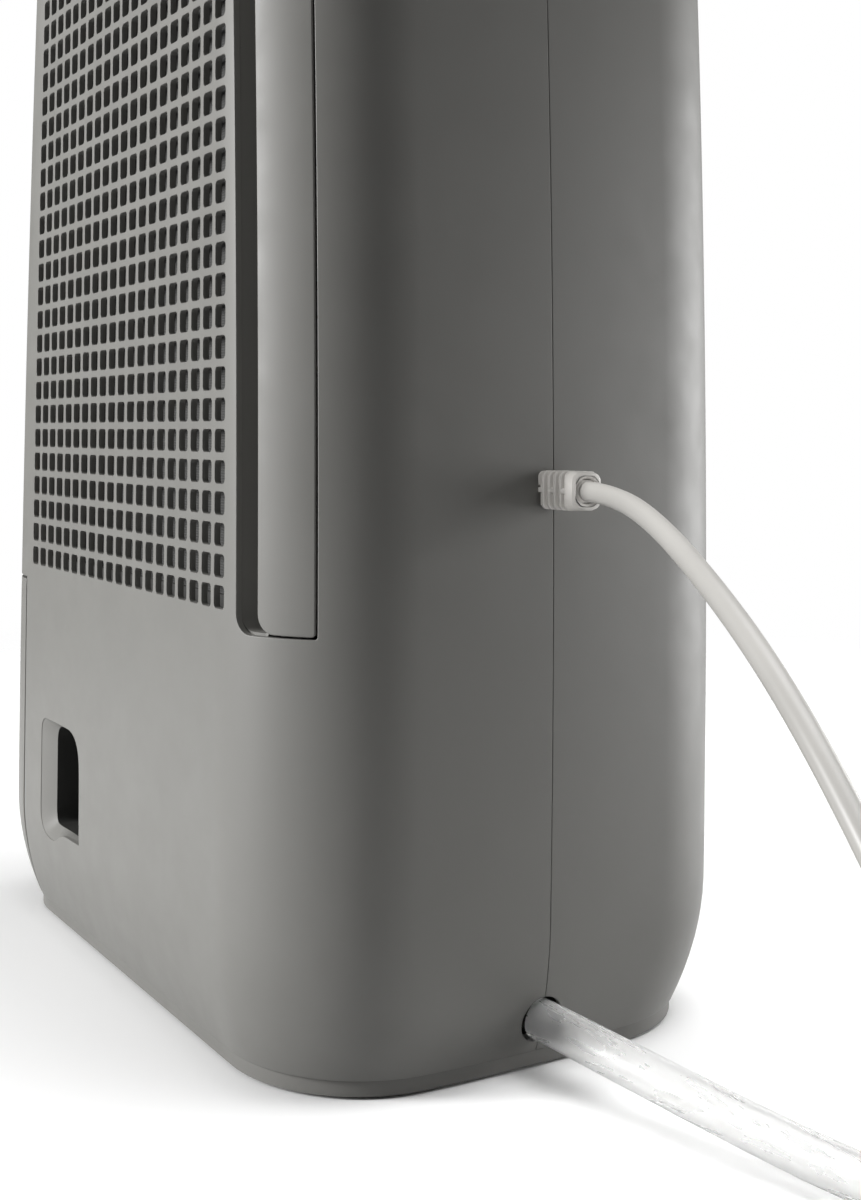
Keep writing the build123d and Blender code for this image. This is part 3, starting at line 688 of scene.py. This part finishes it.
def case_point(s, z, face):
    """A point of the case: s runs round it from the middle of the +Y or -Y face."""
    cx = half_width(z) - CORNER_R
    cy = half_depth(z) - CORNER_R
    beta = math.asin(cy / REACH)
    along = abs(s)
    side = 1.0 if s >= 0 else -1.0
    if along <= FLAT:
        return Vector((s / FLAT * cx, face * (cy + CORNER_R), z))
    if along <= FLAT + ROUND:
        a = math.pi / 2 - (along - FLAT) / ROUND * (math.pi / 2 - beta)
        x, y = cx + CORNER_R * math.cos(a), cy + CORNER_R * math.sin(a)
        return Vector((side * x, face * y, z))
    a = beta * (1 - (along - FLAT - ROUND) / SIDE)
    middle = cx - REACH * math.cos(beta)
    return Vector((side * (middle + SIDE_R * math.cos(a)), face * SIDE_R * math.sin(a), z))


def rear_point(s, z):
    return case_point(s, z, 1.0)


def front_point(s, z):
    return case_point(s, z, -1.0)


def side_point(w, z):
    """A point of the +X end: w runs towards +Y from the middle of the side."""
    return case_point(HALF_ROUND - abs(w), z, 1.0 if w >= 0 else -1.0)


def s_at_x(x, z):
    """The s of a point of a face or corner from its x."""
    cx = half_width(z) - CORNER_R
    side = 1.0 if x >= 0 else -1.0
    if abs(x) <= cx:
        return x / cx * FLAT
    beta = math.asin((half_depth(z) - CORNER_R) / REACH)
    a = math.acos(min(1.0, (abs(x) - cx) / CORNER_R))
    return side * (FLAT + (math.pi / 2 - a) / (math.pi / 2 - beta) * ROUND)


def s_at_y(y, z):
    """The s, on the -X side, of a point at depth y."""
    beta = math.asin((half_depth(z) - CORNER_R) / REACH)
    return -(FLAT + ROUND + SIDE * (1 - math.asin(abs(y) / SIDE_R) / beta))


def s_of_offset(off):
    """The s of the upright line that stands off outwards from the -X corner's centre."""
    beta = math.asin((HALF_D - CORNER_R) / REACH)
    return -(FLAT + (math.pi / 2 - math.acos(off / CORNER_R)) / (math.pi / 2 - beta) * ROUND)


OUTLINE_STEP = 6.0            # longest run between two points of a shell's outline
EDGE = 0.35                   # radius of the shells' moulded edges
SEAM_GAP = 0.12               # the seam's gap where the two lips meet
PANEL_X, PANEL_Z = 112.0, 163.0
PANEL_GAP, PANEL_STEPS = 1.2, 24
CORD_Z, DRAIN_Z, DRAIN_R = 214.0, 19.5, 8.8
RELIEF_HALF = 6.0             # half the square hole for the cord's relief
DRAIN_STEPS = 16
# heights where the seam and the tank panel's edge get a point
SEAM_ABOVE = (440, 390, 340, 290, 250)
SEAM_BELOW = (170, 130, 95, 75, 57, 51, 46, 41, 36, 32)
PANEL_EDGE_ZS = (16, 26, 36, 46, 57, 75, 95, 115, 135, 150)


def seam_side():
    """The -X edge of a half shell from its top to its bottom, round both holes."""
    y = SEAM_GAP / 2 + EDGE
    heights = (CASE_Z1 - EDGE, *SEAM_ABOVE, CORD_Z + RELIEF_HALF)
    points = [(s_at_y(y, z), z) for z in heights]
    points += [(s_at_y(RELIEF_HALF, CORD_Z + RELIEF_HALF), CORD_Z + RELIEF_HALF)]
    points += [(s_at_y(RELIEF_HALF, CORD_Z - RELIEF_HALF), CORD_Z - RELIEF_HALF)]
    points += [(s_at_y(y, z), z) for z in (CORD_Z - RELIEF_HALF, *SEAM_BELOW)]
    radius = DRAIN_R + EDGE
    start = math.acos(y / radius)
    for k in range(DRAIN_STEPS + 1):
        a = start - 2 * start * k / DRAIN_STEPS
        z = DRAIN_Z + radius * math.sin(a)
        points.append((s_at_y(radius * math.cos(a), z), z))
    points.append((s_at_y(y, CASE_Z0 + EDGE), CASE_Z0 + EDGE))
    return points


def half_shell_outline():
    """The outline of a half shell, anticlockwise from its lower -X corner."""
    low, high = CASE_Z0 + EDGE, CASE_Z1 - EDGE
    edge_x, edge_z = PANEL_X - EDGE, PANEL_Z + EDGE
    right_s = HALF_ROUND - SEAM_GAP / 2 - EDGE
    upright = [(s_at_x(edge_x, z), z) for z in (low, *PANEL_EDGE_ZS, edge_z)]
    seam = seam_side()
    points = seam[-1:] + upright + [(right_s, edge_z), (right_s, high)]
    return divided(points + seam[:-1], OUTLINE_STEP)


GRILLE_PITCH, GRILLE_COLS, GRILLE_ROWS = 11.2, 20, 27
GRILLE_X0, GRILLE_Z0, GRILLE_HOLE, GRILLE_R = -113.0, 174.0, 8.3, 1.9


def grille_loops():
    """Every hole of the intake grille as a rounded square."""
    loops = []
    for row in range(GRILLE_ROWS):
        z = GRILLE_Z0 + row * GRILLE_PITCH
        shrink = half_width(z) / HALF_W
        for col in range(GRILLE_COLS):
            x = (GRILLE_X0 + col * GRILLE_PITCH) * shrink
            half_x = GRILLE_HOLE / 2 * shrink + EDGE
            half_z = GRILLE_HOLE / 2 + EDGE
            loop = rounded(x - half_x, x + half_x, z - half_z, z + half_z, [GRILLE_R] * 4, 4)
            loops.append([(s_at_x(px, pz), pz) for px, pz in loop])
    return loops


STRIP_Z = (163.0, 477.0)
CHANNEL_OFF, STRIP_OFF, STRIP_Y = 12.4, 22.4, 89.0
STRIP_END = -(FLAT + (math.pi / 2 - math.asin((STRIP_Y - HALF_D + CORNER_R) / CORNER_R)) * CORNER_R)
# the finger recess's outline on the face and the opening inside it, as x, z and corner radius
RECESS_MOUTH = [(33.0, 50.2, 1.5), (57.0, 49.6, 6.0), (69.0, 43.2, 6.0), (87.0, 45.5, 11.0),
                (87.0, 99.6, 8.0), (34.2, 99.6, 17.0)]
RECESS_INNER = [(33.6, 51.0, 1.5), (57.0, 51.0, 6.0), (69.0, 50.6, 3.0), (77.5, 51.0, 8.0),
                (77.5, 96.4, 8.0), (34.8, 96.4, 16.0)]
RECESS_EDGE_Y = 102.0         # depth of the scooped side's inner edge
RECESS_FLOOR_Y = 86.4
RECESS_SINK = 0.25            # how far under the face the scoop starts
SCOOP_PARTS, SCOOP_CURVE = (0.0, 0.06, 0.5, 0.94, 1.0), 1.15
POCKET_YS = (RECESS_EDGE_Y + 0.1, 98.0, 92.0, RECESS_FLOOR_Y + 1.5)
POCKET_PULL = 0.06            # how much the pocket's floor is drawn in
ARC_STEPS, SIDE_STEPS = 8, 8  # parts of a rounded corner and of a straight side
STRIP_GAP = 0.75
STRIP_RIM = 0.6
CHANNEL_SPAN, CHANNEL_MIDDLE = (11.4, 23.6), 17.5   # offsets from the corner's centre
CHANNEL_Y, CHANNEL_SHORT, CHANNEL_UNDER = 2.4, 0.2, 0.3
WALL = 2.5


def strip_opening():
    """The opening that holds the filter's grip strip and the finger channel."""
    s0, s1 = STRIP_END - STRIP_GAP - EDGE, s_of_offset(CHANNEL_OFF) + EDGE
    z0, z1 = STRIP_Z[0] - STRIP_GAP - EDGE, STRIP_Z[1] + STRIP_GAP + EDGE
    return divided(rounded(s0, s1, z0, z1, [1.6, 7.5, 7.5, 1.6], 7), OUTLINE_STEP)


def recess_loop(corners):
    """A closed loop through the recess's corners, with the same number of points for each."""
    points = []
    for i, (x, z, r) in enumerate(corners):
        here = Vector((x, z))
        arms = []
        for other in (corners[i - 1], corners[(i + 1) % len(corners)]):
            arm = Vector(other[:2]) - here
            arms.append(arm.normalized() * min(r, arm.length * 0.48))
        for k in range(ARC_STEPS + 1):
            t = k / ARC_STEPS
            points.append(here + arms[0] * (1 - t) ** 2 + arms[1] * t ** 2)
    loop = []
    for a, b in zip(points, points[1:] + points[:1]):
        at_side = len(loop) % (ARC_STEPS + SIDE_STEPS) == ARC_STEPS
        parts = SIDE_STEPS if at_side else 1
        loop += [tuple(a + (b - a) * k / parts) for k in range(parts)]
    return loop


def make_recess():
    """The recess: a wide scooped edge on the far side, then a deep pocket whose dark plastic is
    painted shade.
    """
    mouth, inner = recess_loop(RECESS_MOUTH), recess_loop(RECESS_INNER)
    rings = []
    for part in SCOOP_PARTS:
        ring = []
        for (x0, z0), (x1, z1) in zip(mouth, inner):
            y = case_point(s_at_x(x0, z0), z0, 1.0).y - RECESS_SINK
            sunk = y + (RECESS_EDGE_Y - y) * part ** SCOOP_CURVE
            ring.append((x0 + (x1 - x0) * part, sunk, z0 + (z1 - z0) * part))
        rings.append(ring)
    finish_piece(ledge("recess_scoop", rings), "case", "case")
    pocket = [[(x, y, z) for x, z in inner] for y in POCKET_YS]
    middle_x = sum(x for x, _ in inner) / len(inner)
    middle_z = sum(z for _, z in inner) / len(inner)
    pocket.append([(x + (middle_x - x) * POCKET_PULL, RECESS_FLOOR_Y,
                    z + (middle_z - z) * POCKET_PULL) for x, z in inner])
    # the pocket's dark plastic is painted shade: it stands in for the shadow deep inside the recess
    finish_piece(basin("recess_pocket", pocket, 1.4), "dark_plastic", "case")


def make_rear_shell():
    recess = [(s_at_x(x, z), z) for x, z in recess_loop(RECESS_MOUTH)]
    holes = grille_loops() + [strip_opening(), recess]
    piece = shell("rear_case", rear_point, half_shell_outline(), holes, rim=EDGE)
    return finish_piece(piece, "case", "case", "rear_shell")


def make_front_shell():
    piece = shell("front_case", front_point, half_shell_outline(), rim=EDGE)
    return finish_piece(piece, "case", "case", "front_shell")


def make_tank_panel():
    """The tank's front: the whole lower +X end of the case."""
    gap = PANEL_GAP + EDGE
    low, high = CASE_Z0 + gap, PANEL_Z - gap
    heights = [low + (high - low) * k / PANEL_STEPS for k in range(PANEL_STEPS + 1)]
    right = [(HALF_ROUND - s_at_x(PANEL_X + gap, z), z) for z in heights]
    left = [(-w, z) for w, z in reversed(right)]
    piece = shell("tank_front", side_point, divided(right + left, OUTLINE_STEP), rim=EDGE)
    return finish_piece(piece, "case", "tank", "tank_front_panel")


def make_grip():
    """The filter's grip strip and the finger channel beside it."""
    rim = STRIP_RIM
    outline = rounded(STRIP_END + rim, s_of_offset(STRIP_OFF) - rim,
                      STRIP_Z[0] + rim, STRIP_Z[1] - rim, [0.9, 6.6, 6.6, 0.9], 7)
    strip = shell("filter_strip", rear_point, divided(outline, OUTLINE_STEP), rim=rim,
                  rim_steps=3, step=(3.0, 6.0))
    finish_piece(strip, "case", "filter", "filter_grip")
    loop = rounded(*CHANNEL_SPAN, STRIP_Z[0] + CHANNEL_SHORT, STRIP_Z[1] - CHANNEL_SHORT,
                   [6.2, 0.8, 0.8, 6.2], 7, 24)
    floor_y = STRIP_Y + CHANNEL_Y
    inner_r = CORNER_R - WALL

    def ring(y, inset):
        points = []
        for off, z in loop:
            top = HALF_D - CORNER_R + math.sqrt(inner_r ** 2 - off ** 2) - CHANNEL_UNDER
            pull = off + (CHANNEL_MIDDLE - off) * inset
            points.append((-(half_width(z) - CORNER_R + pull), top if y is None else y, z))
        return points

    rings = [ring(None, 0.0), ring(floor_y + 1.5, 0.0), ring(floor_y + 0.4, 0.05),
             ring(floor_y, 0.2)]
    return finish_piece(basin("filter_channel", rings, 1.2), "case", "filter")


make_rear_shell()
make_front_shell()
make_recess()
make_tank_panel()
make_grip()

# ---- top cover ------------------------------------------------------------------
DOME_IN, DOME_UP = 24.0, HEIGHT - CASE_Z1
DOME_RUN = 40.9               # length of the dome's profile
TOP_CX = half_width(CASE_Z1) - CORNER_R
TOP_CY = HALF_D - CORNER_R
TOP_BETA = math.asin(TOP_CY / REACH)
TOP_SIDE_X = TOP_CX - REACH * math.cos(TOP_BETA)


def dome_point(u, v):
    """A point of the top cover from its place on the unrolled dome."""
    sx, sy = (1 if u >= 0 else -1), (1 if v >= 0 else -1)
    x, y = abs(u), abs(v)
    if x <= TOP_CX:
        foot, way = (x, TOP_CY), (0.0, 1.0)
        reach, radius = y - TOP_CY, CORNER_R - DOME_IN
    else:
        away = (x - TOP_SIDE_X, y)
        far = math.hypot(*away)
        if math.asin(y / far) < TOP_BETA:
            foot, way = (TOP_SIDE_X, 0.0), (away[0] / far, away[1] / far)
            reach, radius = far, SIDE_R - DOME_IN
        else:
            away = (x - TOP_CX, y - TOP_CY)
            reach = math.hypot(*away)
            foot, way = (TOP_CX, TOP_CY), (away[0] / reach, away[1] / reach)
            radius = CORNER_R - DOME_IN
    beyond = reach - radius
    z = HEIGHT
    if beyond > 0:
        a = math.pi / 2 * min(1.05, beyond / DOME_RUN)
        x = foot[0] + way[0] * (radius + DOME_IN * math.sin(a))
        y = foot[1] + way[1] * (radius + DOME_IN * math.sin(a))
        z = CASE_Z1 + DOME_UP * math.cos(a)
    return Vector((sx * x * half_width(z) / half_width(CASE_Z1), sy * y, z))


def dome_outline(out):
    """The unrolled dome's outline, moved outwards by out from the flat top's edge."""
    r, side = CORNER_R - DOME_IN + out, SIDE_R - DOME_IN + out
    quarter = [(TOP_SIDE_X + side * math.cos(a), side * math.sin(a)) for a in (0, TOP_BETA / 2)]
    for k in range(13):
        a = TOP_BETA + (math.pi / 2 - TOP_BETA) * k / 12
        quarter.append((TOP_CX + r * math.cos(a), TOP_CY + r * math.sin(a)))
    quarter.append((0.0, TOP_CY + r))
    half = quarter + [(-x, y) for x, y in reversed(quarter[:-1])]
    return divided(half + [(x, -y) for x, y in reversed(half[1:-1])], 5.0)


def top_loop(corners, r):
    """An opening in the flat top, on the unrolled dome."""
    grow = half_width(CASE_Z1) / half_width(HEIGHT)
    return [(x * grow, y) for x, y in divided(softened(corners, r), 8.0)]


GROOVE = [(-107, -8), (-92.5, -8), (-92.5, 36), (92.5, 36), (92.5, -8), (107, -8),
          (107, 53), (36, 53), (36, 69), (-36, 69), (-36, 53), (-107, 53)]
PANEL_CUT = [(-64, -80), (64, -80), (64, -42), (-64, -42)]
OUTLET_CUT = [(-88, -26.5), (88, -26.5), (88, 28.5), (-88, 28.5)]
CUT_R, CUT_STEP = 3.0, 8.0
DUCT_ZS = (496.0, 484.0)
GROOVE_Z, SEAT_Z = 494.0, 503.2


def make_top_cover():
    holes = [top_loop(GROOVE, 3.0), top_loop(PANEL_CUT, 3.2), top_loop(OUTLET_CUT, 3.0)]
    outline = dome_outline(DOME_RUN - EDGE)
    piece = shell("top_dome", dome_point, outline, holes, rim=EDGE, step=(5.0, 5.0))
    finish_piece(piece, "case", "case", "top_cover")
    duct = divided(softened(OUTLET_CUT, CUT_R), CUT_STEP)
    walls = [[(x, y, z) for x, y in duct] for z in (HEIGHT - EDGE, *DUCT_ZS)]
    finish_piece(ledge("outlet_duct", walls), "case", "case")
    for name, cut, floor_z in (("handle_groove", GROOVE, GROOVE_Z),
                               ("panel_seat", PANEL_CUT, SEAT_Z)):
        loop = divided(softened(cut, CUT_R), CUT_STEP)
        rings = [[(x, y, z) for x, y in loop] for z in (HEIGHT - EDGE, floor_z)]
        finish_piece(basin(name, rings, 1.6), "case", "case")


make_top_cover()

# ---- drain hose --------------------------------------------------------------------
HOSE_D, HOSE_WALL = 15.0, 1.9
HOSE_LIFT = 0.1               # how far the loop lies clear of the floor
TUBE_SIDES = 28
HOSE_ROUTE = [
    (-164.0, 0.0, 19.5),
    (-196.0, -5.5, 17.0),
    (-244.0, -15.0, 12.2),
    (-292.0, -25.5, 8.3),
]
LOOP_C, LOOP_R, LOOP_ANGLES, LOOP_STEPS = (-340.0, -118.0), 80.0, (105, 385), 10


def hose_route():
    points = list(HOSE_ROUTE)
    for k in range(LOOP_STEPS + 1):
        a = math.radians(LOOP_ANGLES[0] + (LOOP_ANGLES[1] - LOOP_ANGLES[0]) * k / LOOP_STEPS)
        x, y = LOOP_C[0] + LOOP_R * math.cos(a), LOOP_C[1] + LOOP_R * math.sin(a)
        points.append((x, y, HOSE_D / 2 + HOSE_LIFT))
    return points


def line_points(curve):
    """Points read from a curve's own spline, in millimetres."""
    bpy.context.scene.collection.objects.link(curve)
    mesh = bpy.data.meshes.new_from_object(curve)
    points = [vertex.co / MM for vertex in mesh.vertices]
    bpy.data.objects.remove(curve)
    bpy.data.meshes.remove(mesh)
    return points


def make_hose():
    """The clear hose, a tube with an inner wall that follows its spline."""
    route = smooth_curve("hose_line", hose_route(), 0)
    route.data.splines[0].resolution_u = 8
    path = line_points(route)
    skin = Skin()
    sides = TUBE_SIDES
    turns = [math.tau * k / sides for k in range(sides)]
    across = Vector((0, 0, 1))
    rings = {HOSE_D / 2: [], HOSE_D / 2 - HOSE_WALL: []}
    ways = {radius: [] for radius in rings}
    for i, point in enumerate(path):
        ahead = path[min(i + 1, len(path) - 1)] - path[max(i - 1, 0)]
        ahead.normalize()
        across = (across - ahead * across.dot(ahead)).normalized()
        other = ahead.cross(across)
        spokes = [across * math.cos(a) + other * math.sin(a) for a in turns]
        for radius in rings:
            rings[radius].append(skin.add([point + spoke * radius for spoke in spokes]))
            ways[radius].append(spokes if radius == HOSE_D / 2 else [-spoke for spoke in spokes])
    for radius in rings:
        for k in range(len(path) - 1):
            band_facing(skin, *rings[radius][k:k + 2], *ways[radius][k:k + 2])
    outer, inner = rings.values()
    for end, way in ((0, path[0] - path[1]), (-1, path[-1] - path[-2])):
        flat = [way.normalized()] * sides
        band_facing(skin, outer[end], inner[end], flat, flat)
    piece = skin.build("clear_drain_hose")
    finish_piece(piece, "clear_hose", "case", "drain_hose")
    return piece, [point * MM for point in path]


hose, hose_path = make_hose()


# ---- strain relief -----------------------------------------------------------------
RELIEF_X = (-188.0, -165.4)   # its far and near ends
RELIEF_SIZE = 7.0             # half the width of a rib
RELIEF_CORE, CORE_CORNER, RIB_CORNER = 4.0, 1.6, 2.4
RELIEF_RIBS, RELIEF_SLOT = (2.3, 1.5, 1.5, 1.5, 1.5, 1.2), 1.9
RIB_SOFT = 0.3                # the ribs' softened edges
BRIDGE_LAP, BRIDGE_R = 0.3, 0.3
# each bridge's place across the relief and its half sizes there
BRIDGES = [(0, 5.3, 0.9, 1.5), (0, -5.3, 0.9, 1.5), (5.3, 0, 1.5, 0.9), (-5.3, 0, 1.5, 0.9)]
MOUTH, BORE = 5.4, 4.3        # half widths of the collar's mouth and of the bore behind it


def square_ring(x, half, corner):
    """A rounded square across the cord's way out."""
    loop = rounded(-half, half, -half, half, [corner] * 4, 5)
    return [Vector((x, y, CORD_Z + z)) for y, z in loop]


def lathe_rings(skin, rings):
    """A closed form through rings of the same length, with flat ends."""
    middles = [sum(ring, Vector()) / len(ring) for ring in rings]
    ids = [skin.add(ring) for ring in rings]
    for k in range(len(rings) - 1):
        normals = []
        for ring, middle in ((rings[k], middles[k]), (rings[k + 1], middles[k + 1])):
            step = rings[k + 1][0] - rings[k][0]
            along = middles[k + 1] - middles[k]
            spread = (step - along).dot((rings[k][0] - middles[k]).normalized())
            axis = Vector((-1, 0, 0)) if along.length < 1e-6 else along.normalized()
            lean = axis * (-spread) if along.length > 1e-6 else axis
            radial = [(p - middle).normalized() * max(along.length, 1e-4) for p in ring]
            normals.append([(r + lean).normalized() for r in radial])
        band_facing(skin, ids[k], ids[k + 1], *normals)
    for end, side in ((0, middles[0] - middles[1]), (-1, middles[-1] - middles[-2])):
        ring = rings[end]
        way = side.normalized() if side.length > 1e-6 else Vector((-1, 0, 0))
        order = list(ids[end])
        if (ring[1] - ring[0]).cross(ring[2] - ring[0]).dot(way) < 0:
            order.reverse()
        skin.face(order, [way] * len(order))


def add_bridges(skin, x):
    """The four bars across the slot that starts at x."""
    for y, z, dy, dz in BRIDGES:
        bar = rounded(-dy, dy, -dz, dz, [BRIDGE_R] * 4, 2)
        ends = (x + BRIDGE_LAP, x - RELIEF_SLOT - BRIDGE_LAP)
        lathe_rings(skin, [[Vector((bx, y + py, CORD_Z + z + pz)) for py, pz in bar]
                           for bx in ends])


def make_relief():
    """The cord's relief: ribs on a core, every other slot bridged, and an end collar."""
    skin = Skin()
    size, soft = RELIEF_SIZE, RIB_SOFT
    far, near = RELIEF_X
    core = [square_ring(x, RELIEF_CORE, CORE_CORNER) for x in (near, far + 1.0)]
    lathe_rings(skin, core)
    x = near
    for k, rib in enumerate(RELIEF_RIBS):
        profile = [(x, size - soft), (x - soft, size), (x - rib + soft, size),
                   (x - rib, size - soft)]
        lathe_rings(skin, [square_ring(px, half, RIB_CORNER) for px, half in profile])
        x -= rib
        if k < len(RELIEF_RIBS) - 1:
            if k % 2 == 0:
                add_bridges(skin, x)
            x -= RELIEF_SLOT
    collar = [(x + 0.2, size - 0.1, 2.6), (far + 0.9, size - 0.6, 2.9),
              (far + 0.2, size - 1.2, 3.2), (far, MOUTH, 4.6),
              (far + 0.5, BORE + 0.3, BORE), (far + 1.8, BORE, BORE - 0.05)]
    lathe_rings(skin, [square_ring(px, half, corner) for px, half, corner in collar])
    return finish_piece(skin.build("cord_relief"), "grey_rubber", "case", "strain_relief")


relief = make_relief()

# the drain spigot's nose inside the hose's end, as x, shift from the hole's centre and radius
NOSE = [(-163.0, 0.0, 5.4), (-168.0, -0.5, 5.4), (-171.6, -1.1, 5.3), (-172.2, -1.2, 4.9),
        (-172.3, -1.2, 3.7), (-170.0, -0.8, 3.4), (-165.0, -0.2, 3.4)]
NOSE_TILT = 0.4               # how far the nose drops for each mm it shifts


def make_nose():
    """The dark end of the drain spigot that shows through the clear hose."""
    skin = Skin()
    angles = [math.tau * k / TUBE_SIDES for k in range(TUBE_SIDES)]
    rings = []
    for x, shift, r in NOSE:
        z = DRAIN_Z + shift * NOSE_TILT
        rings.append([Vector((x, shift + r * math.cos(a), z + r * math.sin(a))) for a in angles])
    lathe_rings(skin, rings)
    return finish_piece(skin.build("spigot_nose"), "dark_plastic", "case")


make_nose()

# ---- floor, light and background ---------------------------------------------
scene = bpy.context.scene
scene.view_settings.view_transform = "Standard"


FLOOR_HALF = 2.0
FLOOR_DULL = 0.30             # the paper's grey to light that has bounced
FADE = (0.45, 1.3)            # where the floor starts and ends fading out, from the middle


def make_floor():
    """A pale paper floor that fades out; returns a collection that holds only it."""
    mesh = bpy.data.meshes.new("floor")
    corners = [(x * FLOOR_HALF, y * FLOOR_HALF, 0) for x, y in ((-1, -1), (1, -1), (1, 1), (-1, 1))]
    mesh.from_pydata(corners, [], [(0, 1, 2, 3)])
    floor = bpy.data.objects.new("floor", mesh)
    scene.collection.objects.link(floor)
    n = Nodes("floor_paper")
    n.colour(n.noise(3.0), (0.92, 0.92, 0.92), (0.94, 0.94, 0.94))
    n.set(Roughness=0.9)
    dull = n.add("ShaderNodeBsdfDiffuse")
    dull.inputs["Color"].default_value = (FLOOR_DULL, FLOOR_DULL, FLOOR_DULL, 1)
    ray = n.add("ShaderNodeLightPath")
    paper = n.add("ShaderNodeMixShader")
    n.link(ray.outputs["Is Diffuse Ray"], paper.inputs[0])
    n.link(n.shader.outputs[0], paper.inputs[1])
    n.link(dull.outputs[0], paper.inputs[2])
    lit = bpy.data.collections.new("floor_only")
    lit.objects.link(floor)
    away = n.add("ShaderNodeVectorMath", operation="LENGTH")
    n.link(n.place, away.inputs[0])
    fade = n.add("ShaderNodeMapRange", interpolation_type="SMOOTHSTEP")
    fade.inputs["From Min"].default_value, fade.inputs["From Max"].default_value = FADE
    n.link(away.outputs["Value"], fade.inputs["Value"])
    clear = n.add("ShaderNodeBsdfTransparent")
    mix = n.add("ShaderNodeMixShader")
    n.link(fade.outputs["Result"], mix.inputs[0])
    n.link(paper.outputs[0], mix.inputs[1])
    n.link(clear.outputs[0], mix.inputs[2])
    n.link(mix.outputs[0], n.tree.nodes["Material Output"].inputs["Surface"])
    mesh.materials.append(n.material)
    return lit


def softbox(name, place, target, size, power):
    """A rectangular light aimed at a point."""
    data = bpy.data.lights.new(name, "AREA")
    data.shape = "RECTANGLE"
    data.size, data.size_y = size
    data.energy = power
    light = bpy.data.objects.new(name, data)
    aim = Vector(target) - Vector(place)
    turn = aim.to_track_quat("-Z", "Y").to_matrix().to_4x4()
    light.matrix_world = Matrix.Translation(place) @ turn
    scene.collection.objects.link(light)
    return light


def make_world():
    """White to the camera, dim to everything else."""
    world = bpy.data.worlds.new("studio")
    world.use_nodes = True
    scene.world = world
    tree = world.node_tree
    background = tree.nodes["Background"]
    path = tree.nodes.new("ShaderNodeLightPath")
    level = tree.nodes.new("ShaderNodeMapRange")
    level.inputs["To Min"].default_value = 0.05
    level.inputs["To Max"].default_value = 1.0
    tree.links.new(path.outputs["Is Camera Ray"], level.inputs["Value"])
    background.inputs["Color"].default_value = (1, 1, 1, 1)
    tree.links.new(level.outputs["Result"], background.inputs["Strength"])


floor_only = make_floor()
make_world()
softbox("key", (0.50, 1.73, 0.75), (0.0, 0.1, 0.28), (0.36, 1.0), 48.0)
softbox("rim", (-0.50, -1.66, 0.34), (-0.1, -0.1, 0.18), (1.6, 1.0), 31.0)
softbox("overhead", (-0.3, 0.1, 2.6), (-0.3, 0.1, 0.0), (2.0, 2.0), 20.0)
fill = softbox("floor_fill", (-0.5, -0.8, 2.4), (-0.3, -0.1, 0.0), (2.0, 2.0), 56.0)
for lit_piece in (hose, cord):
    floor_only.objects.link(lit_piece)
fill.light_linking.receiver_collection = floor_only
relief_only = bpy.data.collections.new("relief_only")
relief_only.objects.link(relief)
relief_fill = softbox("relief_fill", (-1.2, 1.3, 0.8), (-0.18, 0.0, 0.21), (0.6, 0.6), 11.0)
relief_fill.light_linking.receiver_collection = relief_only
